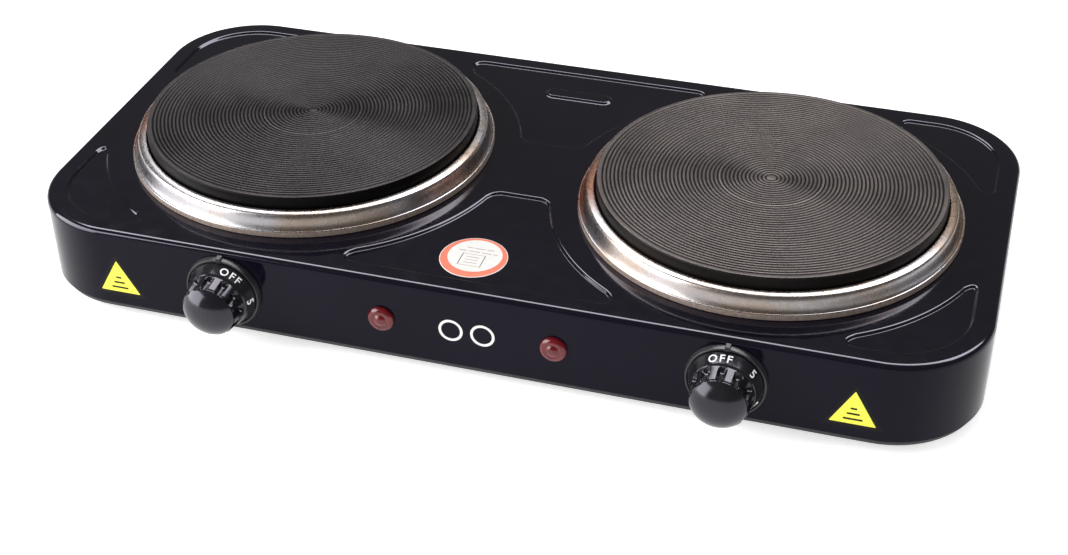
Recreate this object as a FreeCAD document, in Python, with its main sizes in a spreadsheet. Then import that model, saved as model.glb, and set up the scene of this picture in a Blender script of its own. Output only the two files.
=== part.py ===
"""Free-standing double electric hot plate, in millimetres.

+X runs to the right along the front, -Y points out of the front wall and +Z is up. Pieces are laid out from
the centre of the housing's plan at the height the feet stand on. Each is then moved back by the same amount,
so that the origin ends up under the middle of the whole object, knobs and cord gland included.
"""
import FreeCAD, Part
import math
import os
import re
import Sketcher
from FreeCAD import Placement, Rotation, Vector

os.makedirs("parts", exist_ok=True)
doc = FreeCAD.newDocument("DoubleHotPlate")

# ---------------------------------------------------------------- driving dimensions
SIZES = {
    # housing
    "body_length": 512.0, "body_depth": 245.0, "shell_height": 46.0, "corner_radius": 50.5,
    "edge_round": 3.0, "shell_wall": 0.8, "foot_height": 6.0, "pan_show": 3.5,
    "pan_inset": 2.0, "pan_wall": 0.8, "pan_height": 11.0, "slot_length": 46.0, "slot_width": 4.0,
    "slot_pitch": 11.0, "slot_count": 9.0,
    # pressed panels of the top
    "panel_depth": 1.2, "panel_margin": 10.5, "panel_ring_gap": 13.5, "panel_tip_round": 3.0,
    "panel_mid_gap": 53.0, "panel_side_gap": 84.0, "panel_front_gap": 102.0, "panel_gap_shift": 6.5,
    "island_length": 42.0, "island_width": 12.0, "island_from_middle": 86.5,
    # heating plates, measured down from their tops
    "ring_side_margin": 23.5, "plate_forward": 2.5, "plate_radius": 92.5, "plate_rise": 19.0,
    "plate_web": 6.0, "plate_rib_depth": 13.5, "plate_edge": 0.8, "skirt_wall": 5.0,
    "groove_pitch": 2.1, "groove_depth": 0.45, "land_radius": 2.0, "last_land": 1.2,
    "rib_inner_share": 0.3676, "rib_middle_share": 0.627, "rib_wall": 2.5, "boss_radius": 12.0,
    "coil_radius": 2.2, "cement_depth": 7.0, "cover_wall": 0.5, "cover_gap": 0.5,
    # trim rings
    "ring_wall": 0.6, "ring_width": 8.9, "plate_gap": 0.6, "ring_top_rise": 12.4, "ring_lip_rise": 2.2,
    "ring_lift": 0.2, "seat_share": 0.865, "opening_share": 0.908,
    # centre stud, bridge and its fasteners
    "stud_radius": 3.0, "stud_cover": 4.5, "stud_proud": 2.0, "bridge_overlap": 12.0,
    "bridge_width": 26.0, "bridge_wall": 2.0, "washer_wall": 1.2, "washer_radius": 7.0,
    "nut_height": 5.0, "nut_flats": 10.0,
    # controls on the front wall
    "control_height": 25.0, "knob_side_margin": 122.0, "bezel_rim": 1.6, "bezel_depth": 3.4,
    "bezel_wall": 1.6, "skirt_radius": 18.9, "skirt_depth": 10.0, "grip_radius": 14.8,
    "grip_depth": 21.5, "dome_rise": 5.5, "flute_radius": 2.1, "flute_count": 12.0,
    "knob_wall": 2.2, "hub_radius": 6.0, "spindle_radius": 3.0, "spindle_in_knob": 11.0,
    "spindle_behind": 13.0, "spindle_flat": 0.9, "bushing_wall": 2.0, "bushing_out": 3.6,
    "frame_wall": 1.5, "frame_length": 42.0, "frame_width": 18.0, "stack_offset": 26.0,
    "stack_radius": 5.0, "stack_layer": 3.4, "blade_wall": 0.4, "blade_width": 8.0, "rivet_radius": 1.5,
    "thin_nut": 1.8, "left_knob_turn": 28.0,
    # pilot lamps
    "lamp_offset": 46.0, "lens_flange": 1.7, "lens_rim": 1.6, "lens_dome": 2.6, "barrel_radius": 5.4,
    "barrel_length": 16.0, "lens_wall": 0.9, "neon_radius": 2.4, "neon_length": 11.0,
    "clip_flange": 2.6, "clip_wall": 0.5,
    # mains entry and terminals
    "cord_hole": 3.7, "gland_wall": 3.3, "gland_lip": 2.5, "gland_flange": 2.5, "gland_inside": 3.0,
    "strip_length": 36.0, "strip_width": 18.0, "strip_height": 14.0, "strip_back": 34.0,
    "terminal_radius": 1.6, "terminal_pitch": 11.0, "block_end": 3.4, "block_width": 16.0,
    "block_height": 10.0, "pin_radius": 1.2, "pin_offset": 3.0, "earth_offset": 46.0,
    "tag_radius": 5.0, "tag_wall": 0.8,
    # feet and screws
    "foot_radius": 9.0, "foot_inset_x": 62.0, "foot_inset_y": 40.0, "foot_recess": 2.6,
    "foot_taper": 1.5, "screw_radius": 1.9, "screw_head_radius": 3.6, "screw_head": 2.2,
    "screw_length": 12.0, "screw_nut": 3.0, "screw_flats": 7.0, "post_radius": 4.5, "post_bore": 15.0,
    "post_inset": 22.0, "middle_post_inset": 18.0,
    # leads
    "lead_radius": 1.2, "lamp_lead_radius": 0.8, "lead_height": 7.0,
    "lead_pitch": 8.0,
    # labels
    "label_wall": 0.15, "triangle_side": 30.0, "triangle_inset": 59.5, "triangle_base": 9.5,
    "round_label_radius": 17.8, "round_label_x": -6.5, "round_label_y": -89.5,
    "emblem_radius": 6.5, "emblem_shift": 8.5,
    # fits
    "running_gap": 0.05, "screw_gap": 0.1, "loose_gap": 0.4, "body_gap": 0.5,
}

# heights and places that follow from the driving dimensions
PLACES = {
    "shell_bottom": "foot_height + pan_show",
    "shell_top": "shell_bottom + shell_height",
    "panel_under": "shell_top - shell_wall - panel_depth",
    "pan_floor": "foot_height + pan_wall",
    "ring_wall_radius": "plate_radius + plate_gap",
    "ring_lip_radius": "ring_wall_radius + ring_width",
    "opening_radius": "plate_radius * opening_share",
    "ring_seat_radius": "plate_radius * seat_share",
    "panel_ring_radius": "ring_lip_radius + panel_ring_gap",
    "plate_x": "body_length / 2 - ring_side_margin - ring_lip_radius",
    "plate_y": "-plate_forward",
    "plate_top": "shell_top + plate_rise",
    "seat_height": "shell_top + ring_wall",
    "rib_bottom": "plate_top - plate_rib_depth",
    "web_bottom": "plate_top - plate_web",
    "skirt_inside": "plate_radius - skirt_wall",
    "rib_inner": "plate_radius * rib_inner_share",
    "rib_middle": "plate_radius * rib_middle_share",
    "inner_coil": "(rib_inner + rib_wall + rib_middle) / 2",
    "outer_coil": "(rib_middle + rib_wall + skirt_inside) / 2",
    "coil_height": "web_bottom - cement_depth / 2",
    "cover_bottom": "rib_bottom - cover_wall",
    "block_from_plate": "(inner_coil + outer_coil) / 2",
    "block_x": "plate_x - block_from_plate",
    "block_length": "outer_coil - inner_coil + 2 * (block_end + pin_radius)",
    "block_bottom": "cover_bottom - block_height",
    "bridge_top": "shell_top - shell_wall",
    "bridge_bottom": "bridge_top - bridge_wall",
    "bridge_length": "2 * (opening_radius + bridge_overlap)",
    "stud_top": "plate_top - stud_cover",
    "stud_bottom": "bridge_bottom - washer_wall - nut_height - stud_proud",
    "knob_x": "body_length / 2 - knob_side_margin",
    "control_z": "foot_height + control_height",
    "bezel_radius": "skirt_radius + body_gap + bezel_rim",
    "bushing_radius": "spindle_radius + bushing_wall",
    "bushing_flats": "2 * bushing_radius + 4",
    "lens_radius": "barrel_radius + lens_flange",
    "gland_neck": "cord_hole + gland_wall",
    "gland_radius": "gland_neck + gland_lip",
    "front": "-body_depth / 2",
    "frame_back": "shell_wall + frame_wall",
    "stack_x": "knob_x - stack_offset",
    "blade_reach": "stack_offset - spindle_radius - 2",
    "stack_end": "frame_back + 4 * stack_layer + 3 * blade_wall",
    "knob_back": "bezel_wall + body_gap",
    "spindle_front": "bushing_out + body_gap + spindle_in_knob",
    "spring_top": "sqrt((spindle_radius + running_gap)^2 - (spindle_radius / 2)^2) - 0.005",
    "spring_wall": "spring_top - spindle_radius + spindle_flat",
    "strip_y": "body_depth / 2 - strip_back",
    "foot_x": "body_length / 2 - foot_inset_x",
    "foot_y": "body_depth / 2 - foot_inset_y",
    "corner_post_x": "body_length / 2 - post_inset",
    "corner_post_y": "body_depth / 2 - post_inset",
    "middle_post_y": "body_depth / 2 - middle_post_inset",
    "triangle_centre": "body_length / 2 - triangle_inset",
    "screw_hole": "screw_radius + screw_gap",
    "set_back": "(grip_depth + dome_rise - gland_flange) / 2",
}

sheet = doc.addObject("Spreadsheet::Sheet", "Sizes")
for row, (alias, value) in enumerate({**SIZES, **PLACES}.items(), start=1):
    sheet.set(f"A{row}", alias)
    sheet.set(f"B{row}", str(value) if alias in SIZES else "=" + value)
    sheet.setAlias(f"B{row}", alias)
doc.recompute()

ALIAS = re.compile(r"[a-z][a-z_]*[a-z]")
OUT_OF_FRONT = Rotation(Vector(1, 0, 0), 90)
OUT_OF_BACK = Rotation(Vector(1, 0, 0), -90)
SIDES = (("left", -1), ("right", 1))
NODES = []
LAID_OUT = {}


def size(name):
    """A size of the sheet, as a number."""
    return float(sheet.get(name))


# ---------------------------------------------------------------- building blocks
def bound(expression):
    """The expression with every size pointing into the sheet."""
    return ALIAS.sub(lambda found: "Sizes." + found.group(), str(expression))


def bind(thing, **properties):
    """Bind properties of an object to expressions of the sheet's sizes."""
    for name, expression in properties.items():
        thing.setExpression(name, bound(expression))
    return thing


def place(thing, x=0, y=0, z=0, turn=Rotation()):
    """Stand an object at a bound place, turned by a rotation."""
    thing.Placement = Placement(Vector(), turn)
    for axis, expression in zip("xyz", (x, y, z)):
        thing.setExpression("Placement.Base." + axis, bound(expression))
    LAID_OUT[thing.Name] = y
    return thing


def node(thing, label):
    """Name an object as a piece of the hot plate, and move it from the housing's centre to the origin's."""
    thing.Label = label
    thing.setExpression("Placement.Base.y", bound(f"set_back + {LAID_OUT.get(thing.Name, 0)}"))
    NODES.append(thing)
    return thing


def box(name, length, width, height, x=0, y=0, z=0, turn=Rotation()):
    """A box centred on x and y, standing on z."""
    made = bind(doc.addObject("Part::Box", name), Length=length, Width=width, Height=height)
    return place(made, f"{x} - ({length}) / 2", f"{y} - ({width}) / 2", z, turn)


def cylinder(name, radius, height, x=0, y=0, z=0, turn=Rotation()):
    made = bind(doc.addObject("Part::Cylinder", name), Radius=radius, Height=height)
    return place(made, x, y, z, turn)


def hexagon(name, flats, height, bore, z=0):
    """A hexagon nut standing on z, with a round bore."""
    prism = bind(doc.addObject("Part::Prism", name + "Prism"), Height=height,
                 Circumradius=f"({flats}) / {math.sqrt(3):.6f}")
    place(prism, z=z)
    return cut(name, prism, cylinder(name + "Bore", bore, height, z=z))


def cut(name, base, *tools):
    made = doc.addObject("Part::Cut", name)
    made.Base = base
    made.Tool = tools[0] if len(tools) == 1 else fuse(name + "Tools", *tools)
    return made


def fuse(name, *pieces):
    made = doc.addObject("Part::MultiFuse", name)
    made.Shapes = list(pieces)
    return made


def common(name, base, tool):
    made = doc.addObject("Part::Common", name)
    made.Base = base
    made.Tool = tool
    return made


def group(name, pieces):
    """Separate solids kept together as one piece of the list."""
    made = doc.addObject("Part::Compound", name)
    made.Links = list(pieces)
    return made


def copies(name, master, spots, turn=Rotation()):
    """Copies of one object, standing at bound (x, y, z) spots."""
    made = []
    for number, (x, y, z) in enumerate(spots):
        link = doc.addObject("App::Link", f"{name}Copy{number}")
        link.LinkedObject = master
        made.append(place(link, x, y, z, turn))
    return made


def outline(owner, role, points):
    """A closed sketch of straight lines through bound points, on one of the body's origin planes."""
    sketch = owner.newObject("Sketcher::SketchObject", owner.Name + "Outline")
    plane = [feature for feature in owner.Origin.OriginFeatures if feature.Role == role][0]
    sketch.AttachmentSupport = (plane, "")
    sketch.MapMode = "FlatFace"
    count = len(points)
    turn = 2 * math.pi / count
    spots = [Vector(40 + 20 * math.cos(turn * i), 20 * math.sin(turn * i), 0) for i in range(count)]
    sketch.addGeometry([Part.LineSegment(spots[i], spots[(i + 1) % count]) for i in range(count)], False)
    rules = [Sketcher.Constraint("Coincident", i, 2, (i + 1) % count, 1) for i in range(count)]
    for i in range(count):
        rules.append(Sketcher.Constraint("DistanceX", -1, 1, i, 1, spots[i].x))
        rules.append(Sketcher.Constraint("DistanceY", -1, 1, i, 1, spots[i].y))
    sketch.addConstraint(rules)
    for i, (x, y) in enumerate(points):
        sketch.setExpression(f"Constraints[{count + 2 * i}]", bound(x))
        sketch.setExpression(f"Constraints[{count + 2 * i + 1}]", bound(y))
    return sketch


def turned(name, points):
    """A body revolved about its own Z axis from (radius, height) points."""
    body = doc.addObject("PartDesign::Body", name)
    profile = outline(body, "XZ_Plane", points)
    revolution = body.newObject("PartDesign::Revolution", name + "Turn")
    revolution.Profile = profile
    revolution.ReferenceAxis = (profile, ["V_Axis"])
    revolution.Angle = 360
    return body


def edges_at(feature, wanted):
    """The names of the edges of a feature that a test picks."""
    return [f"Edge{i}" for i, edge in enumerate(feature.Shape.Edges, start=1) if wanted(edge)]


def is_upright(edge):
    ends = [vertex.Point for vertex in edge.Vertexes]
    return len(ends) == 2 and (ends[0] - ends[1]).cross(Vector(0, 0, 1)).Length < 1e-6


def rounded_block(name, length, width, height, corner, top_round=None):
    """A block with round upright corners and, if asked, a round top edge."""
    body = doc.addObject("PartDesign::Body", name)
    half_x, half_y = f"({length}) / 2", f"({width}) / 2"
    corners = [(f"-{half_x}", f"-{half_y}"), (half_x, f"-{half_y}"), (half_x, half_y), (f"-{half_x}", half_y)]
    pad = body.newObject("PartDesign::Pad", name + "Pad")
    pad.Profile = outline(body, "XY_Plane", corners)
    bind(pad, Length=height)
    doc.recompute()
    rounds = body.newObject("PartDesign::Fillet", name + "Corners")
    rounds.Base = (pad, edges_at(pad, is_upright))
    bind(rounds, Radius=corner)
    doc.recompute()
    if top_round:
        top = rounds.Shape.BoundBox.ZMax
        brow = body.newObject("PartDesign::Fillet", name + "Brow")
        brow.Base = (rounds, edges_at(rounds, lambda edge: edge.BoundBox.ZMin > top - 1e-6))
        bind(brow, Radius=top_round)
    return body


# ---------------------------------------------------------------- housing
def panel_prisms(name, grow, low, high, island):
    """The six pressed panels as prisms: what is left of the top beside the rings, with round tips."""
    margin = size("panel_margin")
    length = size("body_length") - 2 * margin
    width = size("body_depth") - 2 * margin
    field = Part.makeBox(length, width, 1, Vector(-length / 2, -width / 2, 0))
    upright = [edge for edge in field.Edges if is_upright(edge)]
    field = field.makeFillet(size("corner_radius") - margin, upright)
    middle, side, front = size("panel_mid_gap"), size("panel_side_gap"), size("panel_front_gap")
    shift = size("panel_gap_shift")
    field = field.cut(Part.makeBox(2 * size("plate_x"), middle, 1, Vector(-size("plate_x"), -middle / 2, 0)))
    for sign in (-1, 1):
        centre = Vector(sign * size("plate_x"), size("plate_y"), 0)
        corner = Vector(0 if sign > 0 else -length, -side / 2, 0)
        field = field.cut(Part.makeCylinder(size("panel_ring_radius"), 1, centre))
        field = field.cut(Part.makeBox(length, side, 1, corner + Vector(sign * size("plate_x"), 0, 0)))
        strip = centre + Vector(-front / 2 - shift * sign, -width / 2, 0)
        field = field.cut(Part.makeBox(front, width, 1, strip))
    tip = size("panel_tip_round")
    prisms = []
    for solid in field.Solids:
        floor = [face for face in solid.Faces if face.BoundBox.ZMax < 1e-6][0]
        plan = floor.makeOffset2D(-tip).makeOffset2D(tip + grow)
        plan.translate(Vector(0, 0, low))
        prism = plan.extrude(Vector(0, 0, high - low))
        prisms.append(prism.cut(island))
    made = doc.addObject("Part::Feature", name)
    made.Shape = Part.makeCompound(prisms)
    return made


def island_prism(shrink):
    """The raised bar with round ends that stays up inside the middle panel at the back."""
    radius = size("island_width") / 2 - shrink
    half = (size("island_length") - size("island_width")) / 2
    low = Vector(0, size("island_from_middle"), 0)
    bar = Part.makeBox(2 * half, 2 * radius, 100, low + Vector(-half, -radius, 0))
    ends = [Part.makeCylinder(radius, 100, low + Vector(sign * half, 0, 0)) for sign in (-1, 1)]
    return bar.multiFuse(ends).removeSplitter()


def top_shell():
    """The enamelled shell: one pressed sheet with panels, plate openings and holes in its walls."""
    outside = rounded_block("ShellOutside", "body_length", "body_depth", "shell_height", "corner_radius",
                            "edge_round")
    inside = rounded_block("ShellInside", "body_length - 2 * shell_wall", "body_depth - 2 * shell_wall",
                           "shell_height - shell_wall", "corner_radius - shell_wall",
                           "edge_round - shell_wall")
    for block in (outside, inside):
        place(block, z="shell_bottom")
    top, wall, depth = size("shell_top"), size("shell_wall"), size("panel_depth")
    pressed = panel_prisms("PanelFronts", 0, top - depth, top + 1, island_prism(0))
    backs = panel_prisms("PanelBacks", wall, top - depth - wall, top + 1, island_prism(wall))
    hollow = cut("ShellHollow", inside, backs)
    sheet_metal = cut("ShellSheet", cut("ShellPressed", outside, pressed), hollow)
    through = "shell_wall * 4"
    holes = []
    for side, sign in SIDES:
        holes.append(cylinder(f"Opening_{side}", "opening_radius", "shell_height",
                              f"{sign} * plate_x", "plate_y", "shell_bottom + shell_height / 2"))
        for radius, where in (("bushing_radius", "knob_x"), ("barrel_radius", "lamp_offset")):
            holes.append(cylinder(f"FrontHole_{side}_{where}", f"{radius} + screw_gap", through,
                                  f"{sign} * {where}", "front + shell_wall * 2", "control_z", OUT_OF_FRONT))
    holes.append(cylinder("GlandHole", "gland_neck + screw_gap", through, 0, "-front - shell_wall * 2",
                          "control_z", OUT_OF_BACK))
    node(cut("TopShell", sheet_metal, *holes), "top_shell")


def post_spots(height):
    spots = [(f"{i} * corner_post_x", f"{j} * corner_post_y", height) for i in (-1, 1) for j in (-1, 1)]
    return spots + [(0, f"{j} * middle_post_y", height) for j in (-1, 1)]


def foot_spots(height):
    return [(f"{i} * foot_x", f"{j} * foot_y", height) for i in (-1, 1) for j in (-1, 1)]


def base_pan():
    """The tray that closes the housing from below, with vents under each plate."""
    blank = rounded_block("PanOutside", "body_length - 2 * pan_inset", "body_depth - 2 * pan_inset",
                          "pan_height", "corner_radius - pan_inset")
    hollow = rounded_block("PanInside", "body_length - 2 * (pan_inset + pan_wall)",
                           "body_depth - 2 * (pan_inset + pan_wall)", "pan_height",
                           "corner_radius - pan_inset - pan_wall")
    place(blank, z="foot_height")
    place(hollow, z="pan_floor")
    hole = cylinder("PanHole", "screw_hole", "pan_wall * 3")
    spots = post_spots("foot_height - pan_wall") + foot_spots("foot_height - pan_wall")
    spots.append(("earth_offset", "strip_y", "foot_height - pan_wall"))
    tools = copies("PanHole", hole, spots)
    vent = box("Vent", "slot_width", "slot_length", "pan_wall * 3")
    for side, sign in SIDES:
        steps = [i - (size("slot_count") - 1) / 2 for i in range(int(size("slot_count")))]
        spots = [(f"{sign} * plate_x + {step} * slot_pitch - slot_width / 2", "plate_y - slot_length / 2",
                  "foot_height - pan_wall") for step in steps]
        tools += copies(f"Vent_{side}", vent, spots)
    node(cut("BasePan", cut("PanTray", blank, hollow), *tools), "base_pan")


def screw(name, length):
    """A pan-head screw pointing up, with the underside of its head at zero."""
    return turned(name, [(0, "-screw_head"), ("screw_head_radius - 0.8", "-screw_head"),
                         ("screw_head_radius", "-screw_head + 0.9"), ("screw_head_radius", 0),
                         ("screw_radius", 0), ("screw_radius", length), (0, length)])


def closing_hardware():
    """Posts under the shell, and the screws that hold the pan to them."""
    height = "panel_under - pan_floor"
    post = cut("Post", cylinder("PostRod", "post_radius", height),
               cylinder("PostBore", "screw_hole", "post_bore"))
    node(group("ScrewPosts", copies("Post", post, post_spots("pan_floor"))), "screw_posts")
    pan_screw = screw("PanScrew", "screw_length")
    node(group("PanScrews", copies("PanScrew", pan_screw, post_spots("foot_height"))), "pan_screws")


def feet():
    """Rubber feet with a recess for the head of the screw that goes up through each."""
    recess = "screw_head_radius + loose_gap"
    foot = turned("Foot", [(recess, 0), ("foot_radius - foot_taper", 0), ("foot_radius", "foot_height"),
                           ("screw_hole", "foot_height"), ("screw_hole", "foot_recess"),
                           (recess, "foot_recess")])
    node(group("RubberFeet", copies("Foot", foot, foot_spots(0))), "rubber_feet")
    foot_screw = screw("FootScrew", "screw_length")
    node(group("FootScrews", copies("FootScrew", foot_screw, foot_spots("foot_recess"))), "foot_screws")
    nut = hexagon("FootNut", "screw_flats", "screw_nut", "screw_hole")
    node(group("FootNuts", copies("FootNut", nut, foot_spots("pan_floor"))), "foot_nuts")


# ---------------------------------------------------------------- heating plates
def groove_points():
    """The grooved top from the middle land outwards, as (radius, height) points."""
    room = size("plate_radius") - size("plate_edge") - size("last_land") - size("land_radius")
    points = [(0, "plate_top")]
    for i in range(int(room / size("groove_pitch"))):
        points.append((f"land_radius + {i} * groove_pitch", "plate_top"))
        points.append((f"land_radius + {i + 0.5} * groove_pitch", "plate_top - groove_depth"))
    points.append((f"land_radius + {i + 1} * groove_pitch", "plate_top"))
    return points


def rib_points(inner):
    """One round rib under the plate, from its outside to its inside."""
    outer = f"{inner} + rib_wall"
    return [(outer, "web_bottom"), (outer, "rib_bottom"), (inner, "rib_bottom"), (inner, "web_bottom")]


def heating_plate(side, sign):
    """A cast-iron plate, the coils bedded in its channels, and the cover and block under them."""
    at = (f"{sign} * plate_x", "plate_y")
    iron = turned(f"Iron_{side}", groove_points() + [
        ("plate_radius - plate_edge", "plate_top"), ("plate_radius", "plate_top - plate_edge"),
        ("plate_radius", "seat_height"), ("skirt_inside", "seat_height"), ("skirt_inside", "web_bottom"),
        *rib_points("rib_middle"), *rib_points("rib_inner"), ("boss_radius", "web_bottom"),
        ("boss_radius", "rib_bottom"), ("stud_radius + screw_gap", "rib_bottom"),
        ("stud_radius + screw_gap", "stud_top"), (0, "stud_top")])
    node(place(iron, *at), f"hotplate_{side}")
    wires, beds = [], []
    pin_height = "coil_height - block_bottom - block_height / 2"
    for ring, major, inner, outer in (("Inner", "inner_coil", "rib_inner + rib_wall", "rib_middle"),
                                      ("Outer", "outer_coil", "rib_middle + rib_wall", "skirt_inside")):
        loop = bind(doc.addObject("Part::Torus", f"{ring}Loop_{side}"), Radius1=major, Radius2="coil_radius")
        pins = [cylinder(f"{ring}Pin{edge}_{side}", "pin_radius", pin_height, f"{-sign} * {major}",
                         f"{edge} * pin_offset", "block_bottom + block_height / 2") for edge in (-1, 1)]
        wires.append(fuse(f"{ring}Coil_{side}", place(loop, z="coil_height"), *pins))
        bed = cut(f"{ring}Bed_{side}", cylinder(f"{ring}BedOut_{side}", outer, "cement_depth"),
                  cylinder(f"{ring}BedIn_{side}", inner, "cement_depth"))
        beds.append(place(bed, z="web_bottom - cement_depth"))
    coil = group(f"Coil_{side}", wires)
    node(place(coil, *at), f"heating_coil_{side}")
    cement = cut(f"Cement_{side}", fuse(f"Beds_{side}", *beds), fuse(f"CoilRoom_{side}", *wires))
    node(place(cement, *at), f"coil_cement_{side}")
    disc = cylinder(f"CoverDisc_{side}", "skirt_inside - cover_gap", "cover_wall", z="cover_bottom")
    holes = [cylinder(f"CoverStud_{side}", "stud_radius + loose_gap", "cover_wall", z="cover_bottom")]
    brick = box(f"Brick_{side}", "block_length", "block_width", "block_height",
                f"{-sign} * block_from_plate", 0, "block_bottom")
    sockets = []
    for i, major in enumerate(("inner_coil", "outer_coil")):
        for edge in (-1, 1):
            spot = (f"{-sign} * {major}", f"{edge} * pin_offset")
            holes.append(cylinder(f"CoverPin{i}{edge}_{side}", "pin_radius + loose_gap", "cover_wall",
                                  *spot, "cover_bottom"))
            sockets.append(cylinder(f"Socket{i}{edge}_{side}", "pin_radius + screw_gap", "block_height",
                                    *spot, "block_bottom + block_height / 2"))
    node(place(cut(f"Cover_{side}", disc, *holes), *at), f"plate_cover_{side}")
    node(place(cut(f"Block_{side}", brick, *sockets), *at), f"terminal_block_{side}")


def trim_ring(side, sign):
    """The bright ring: a seat under the plate, a wall round it and a cove out to a turned-down lip."""
    cove = [(0.16, 0.90), (0.33, 0.58), (0.55, 0.27), (0.83, 0.07)]
    crest = "ring_wall_radius + ring_wall"
    over = [(f"({crest}) + {out} * (ring_lip_radius - {crest})",
             f"shell_top + ring_lip_rise + {up} * (ring_top_rise - ring_lip_rise)") for out, up in cove]
    under = [(f"{r} - 0.8 * ring_wall", f"{z} - 0.6 * ring_wall") for r, z in reversed(over)]
    lip = "ring_lip_radius - ring_wall"
    profile = [("ring_seat_radius", "seat_height"), ("ring_wall_radius", "seat_height"),
               ("ring_wall_radius", "shell_top + ring_top_rise - ring_wall"),
               (crest, "shell_top + ring_top_rise"), *over,
               ("ring_lip_radius", "shell_top + ring_lip_rise"), ("ring_lip_radius", "shell_top + ring_lift"),
               (lip, "shell_top + ring_lift"), (lip, "shell_top + ring_lip_rise - ring_wall"), *under,
               (crest, "shell_top + ring_top_rise - 2 * ring_wall"), (crest, "shell_top"),
               ("ring_seat_radius", "shell_top")]
    node(place(turned(f"Ring_{side}", profile), f"{sign} * plate_x", "plate_y"), f"trim_ring_{side}")


def plate_fixing(side, sign):
    """The stud from the plate's boss and the bridge it pulls up under the shell."""
    at = (f"{sign} * plate_x", "plate_y")
    stud = cylinder(f"Stud_{side}", "stud_radius", "stud_top - stud_bottom", *at, "stud_bottom")
    node(stud, f"plate_stud_{side}")
    strip = box(f"BridgeStrip_{side}", "bridge_width", "bridge_length", "bridge_wall", *at, "bridge_bottom")
    hole = cylinder(f"BridgeHole_{side}", "stud_radius + screw_gap", "bridge_wall", *at, "bridge_bottom")
    node(cut(f"Bridge_{side}", strip, hole), f"plate_bridge_{side}")


def plate_fasteners():
    """The washer and nut under each bridge."""
    washer = cut("Washer", cylinder("WasherDisc", "washer_radius", "washer_wall"),
                 cylinder("WasherBore", "stud_radius + screw_gap", "washer_wall"))
    nut = hexagon("StudNut", "nut_flats", "nut_height", "stud_radius + screw_gap")
    seats = [(f"{sign} * plate_x", "plate_y", "bridge_bottom - washer_wall") for side, sign in SIDES]
    node(group("BridgeWashers", copies("Washer", washer, seats)), "bridge_washers")
    below = [(x, y, f"{z} - nut_height") for x, y, z in seats]
    node(group("BridgeNuts", copies("StudNut", nut, below)), "bridge_nuts")


# ---------------------------------------------------------------- controls
def on_front(thing, x, turn=0):
    """Stand a piece made with +Z as the way out of the wall on the front wall, turned clockwise."""
    return place(thing, x, "front", "control_z", OUT_OF_FRONT.multiply(Rotation(Vector(0, 0, 1), -turn)))


def knob(side, sign, turn):
    """The hollow knob: a dial skirt, a fluted grip, a dome and a hub with a blind bore."""
    bore = "spindle_radius + running_gap"
    dome = [(f"{math.cos(math.radians(a)):.5f} * grip_radius",
             f"grip_depth + {math.sin(math.radians(a)):.5f} * dome_rise") for a in (18, 36, 54, 72)]
    hub_back = "bushing_out + body_gap"
    body = turned(f"Knob_{side}", [
        ("skirt_radius", "knob_back"), ("skirt_radius", "knob_back + 1"),
        ("grip_radius + 0.9", "skirt_depth"), ("grip_radius", "skirt_depth"),
        ("grip_radius", "grip_depth"), *dome, (0, "grip_depth + dome_rise"),
        (0, "spindle_front + body_gap"), (bore, "spindle_front + body_gap"), (bore, hub_back),
        ("hub_radius", hub_back), ("hub_radius", "grip_depth - knob_wall"),
        ("grip_radius - knob_wall - flute_radius", "grip_depth - knob_wall"),
        ("grip_radius - knob_wall - flute_radius", "skirt_depth - knob_wall"),
        ("skirt_radius - knob_wall", "knob_back")])
    doc.recompute()
    before = body.Shape.Volume
    circle = body.newObject("Sketcher::SketchObject", f"Flute_{side}")
    circle.AttachmentSupport = ([f for f in body.Origin.OriginFeatures if f.Role == "XY_Plane"][0], "")
    circle.MapMode = "FlatFace"
    circle.setExpression("AttachmentOffset.Base.z", bound("grip_depth + dome_rise"))
    circle.addGeometry(Part.Circle(Vector(16, 0, 0), Vector(0, 0, 1), 2), False)
    circle.addConstraint([Sketcher.Constraint("PointOnObject", 0, 3, -1),
                          Sketcher.Constraint("DistanceX", -1, 1, 0, 3, 16.0),
                          Sketcher.Constraint("Radius", 0, 2.0)])
    circle.setExpression("Constraints[1]", bound("grip_radius + flute_radius * 0.4"))
    circle.setExpression("Constraints[2]", bound("flute_radius"))
    flute = body.newObject("PartDesign::Pocket", f"FluteCut_{side}")
    flute.Profile = circle
    bind(flute, Length="grip_depth + dome_rise - skirt_depth - 1")
    doc.recompute()
    ring = body.newObject("PartDesign::PolarPattern", f"Flutes_{side}")
    ring.Originals = [flute]
    ring.Axis = (circle, ["N_Axis"])
    ring.Angle = 360
    bind(ring, Occurrences="flute_count")
    body.Tip = ring
    doc.recompute()
    if body.Shape.Volume > before - 100:
        raise ValueError("the flutes cut nothing from the knob")
    node(on_front(body, f"{sign} * knob_x", turn), f"knob_{side}")


def spindle(side, sign, turn):
    """The thermostat's spindle with its collar behind the frame, a flat, and the clip on the flat."""
    collar = "-frame_back - body_gap"
    rod = turned(f"Rod_{side}", [
        (0, "-frame_back - spindle_behind"), ("spindle_radius", "-frame_back - spindle_behind"),
        ("spindle_radius", f"{collar} - 1.5"), ("spindle_radius + 1.4", f"{collar} - 1.5"),
        ("spindle_radius + 1.4", collar), ("spindle_radius", collar),
        ("spindle_radius", "spindle_front"), (0, "spindle_front")])
    flat = box(f"Flat_{side}", "spindle_radius * 3", "spindle_flat", "spindle_in_knob", 0,
               "spindle_radius - spindle_flat / 2", "spindle_front - spindle_in_knob")
    node(on_front(cut(f"Spindle_{side}", rod, flat), f"{sign} * knob_x", turn), f"spindle_{side}")
    clip = box(f"Clip_{side}", "spindle_radius", "spring_wall", "spindle_in_knob - 2", 0,
               "spring_top - spring_wall / 2", "spindle_front - spindle_in_knob + 1")
    held = group(f"ClipHeld_{side}", [clip])
    node(on_front(held, f"{sign} * knob_x", turn), f"knob_clip_{side}")


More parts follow.
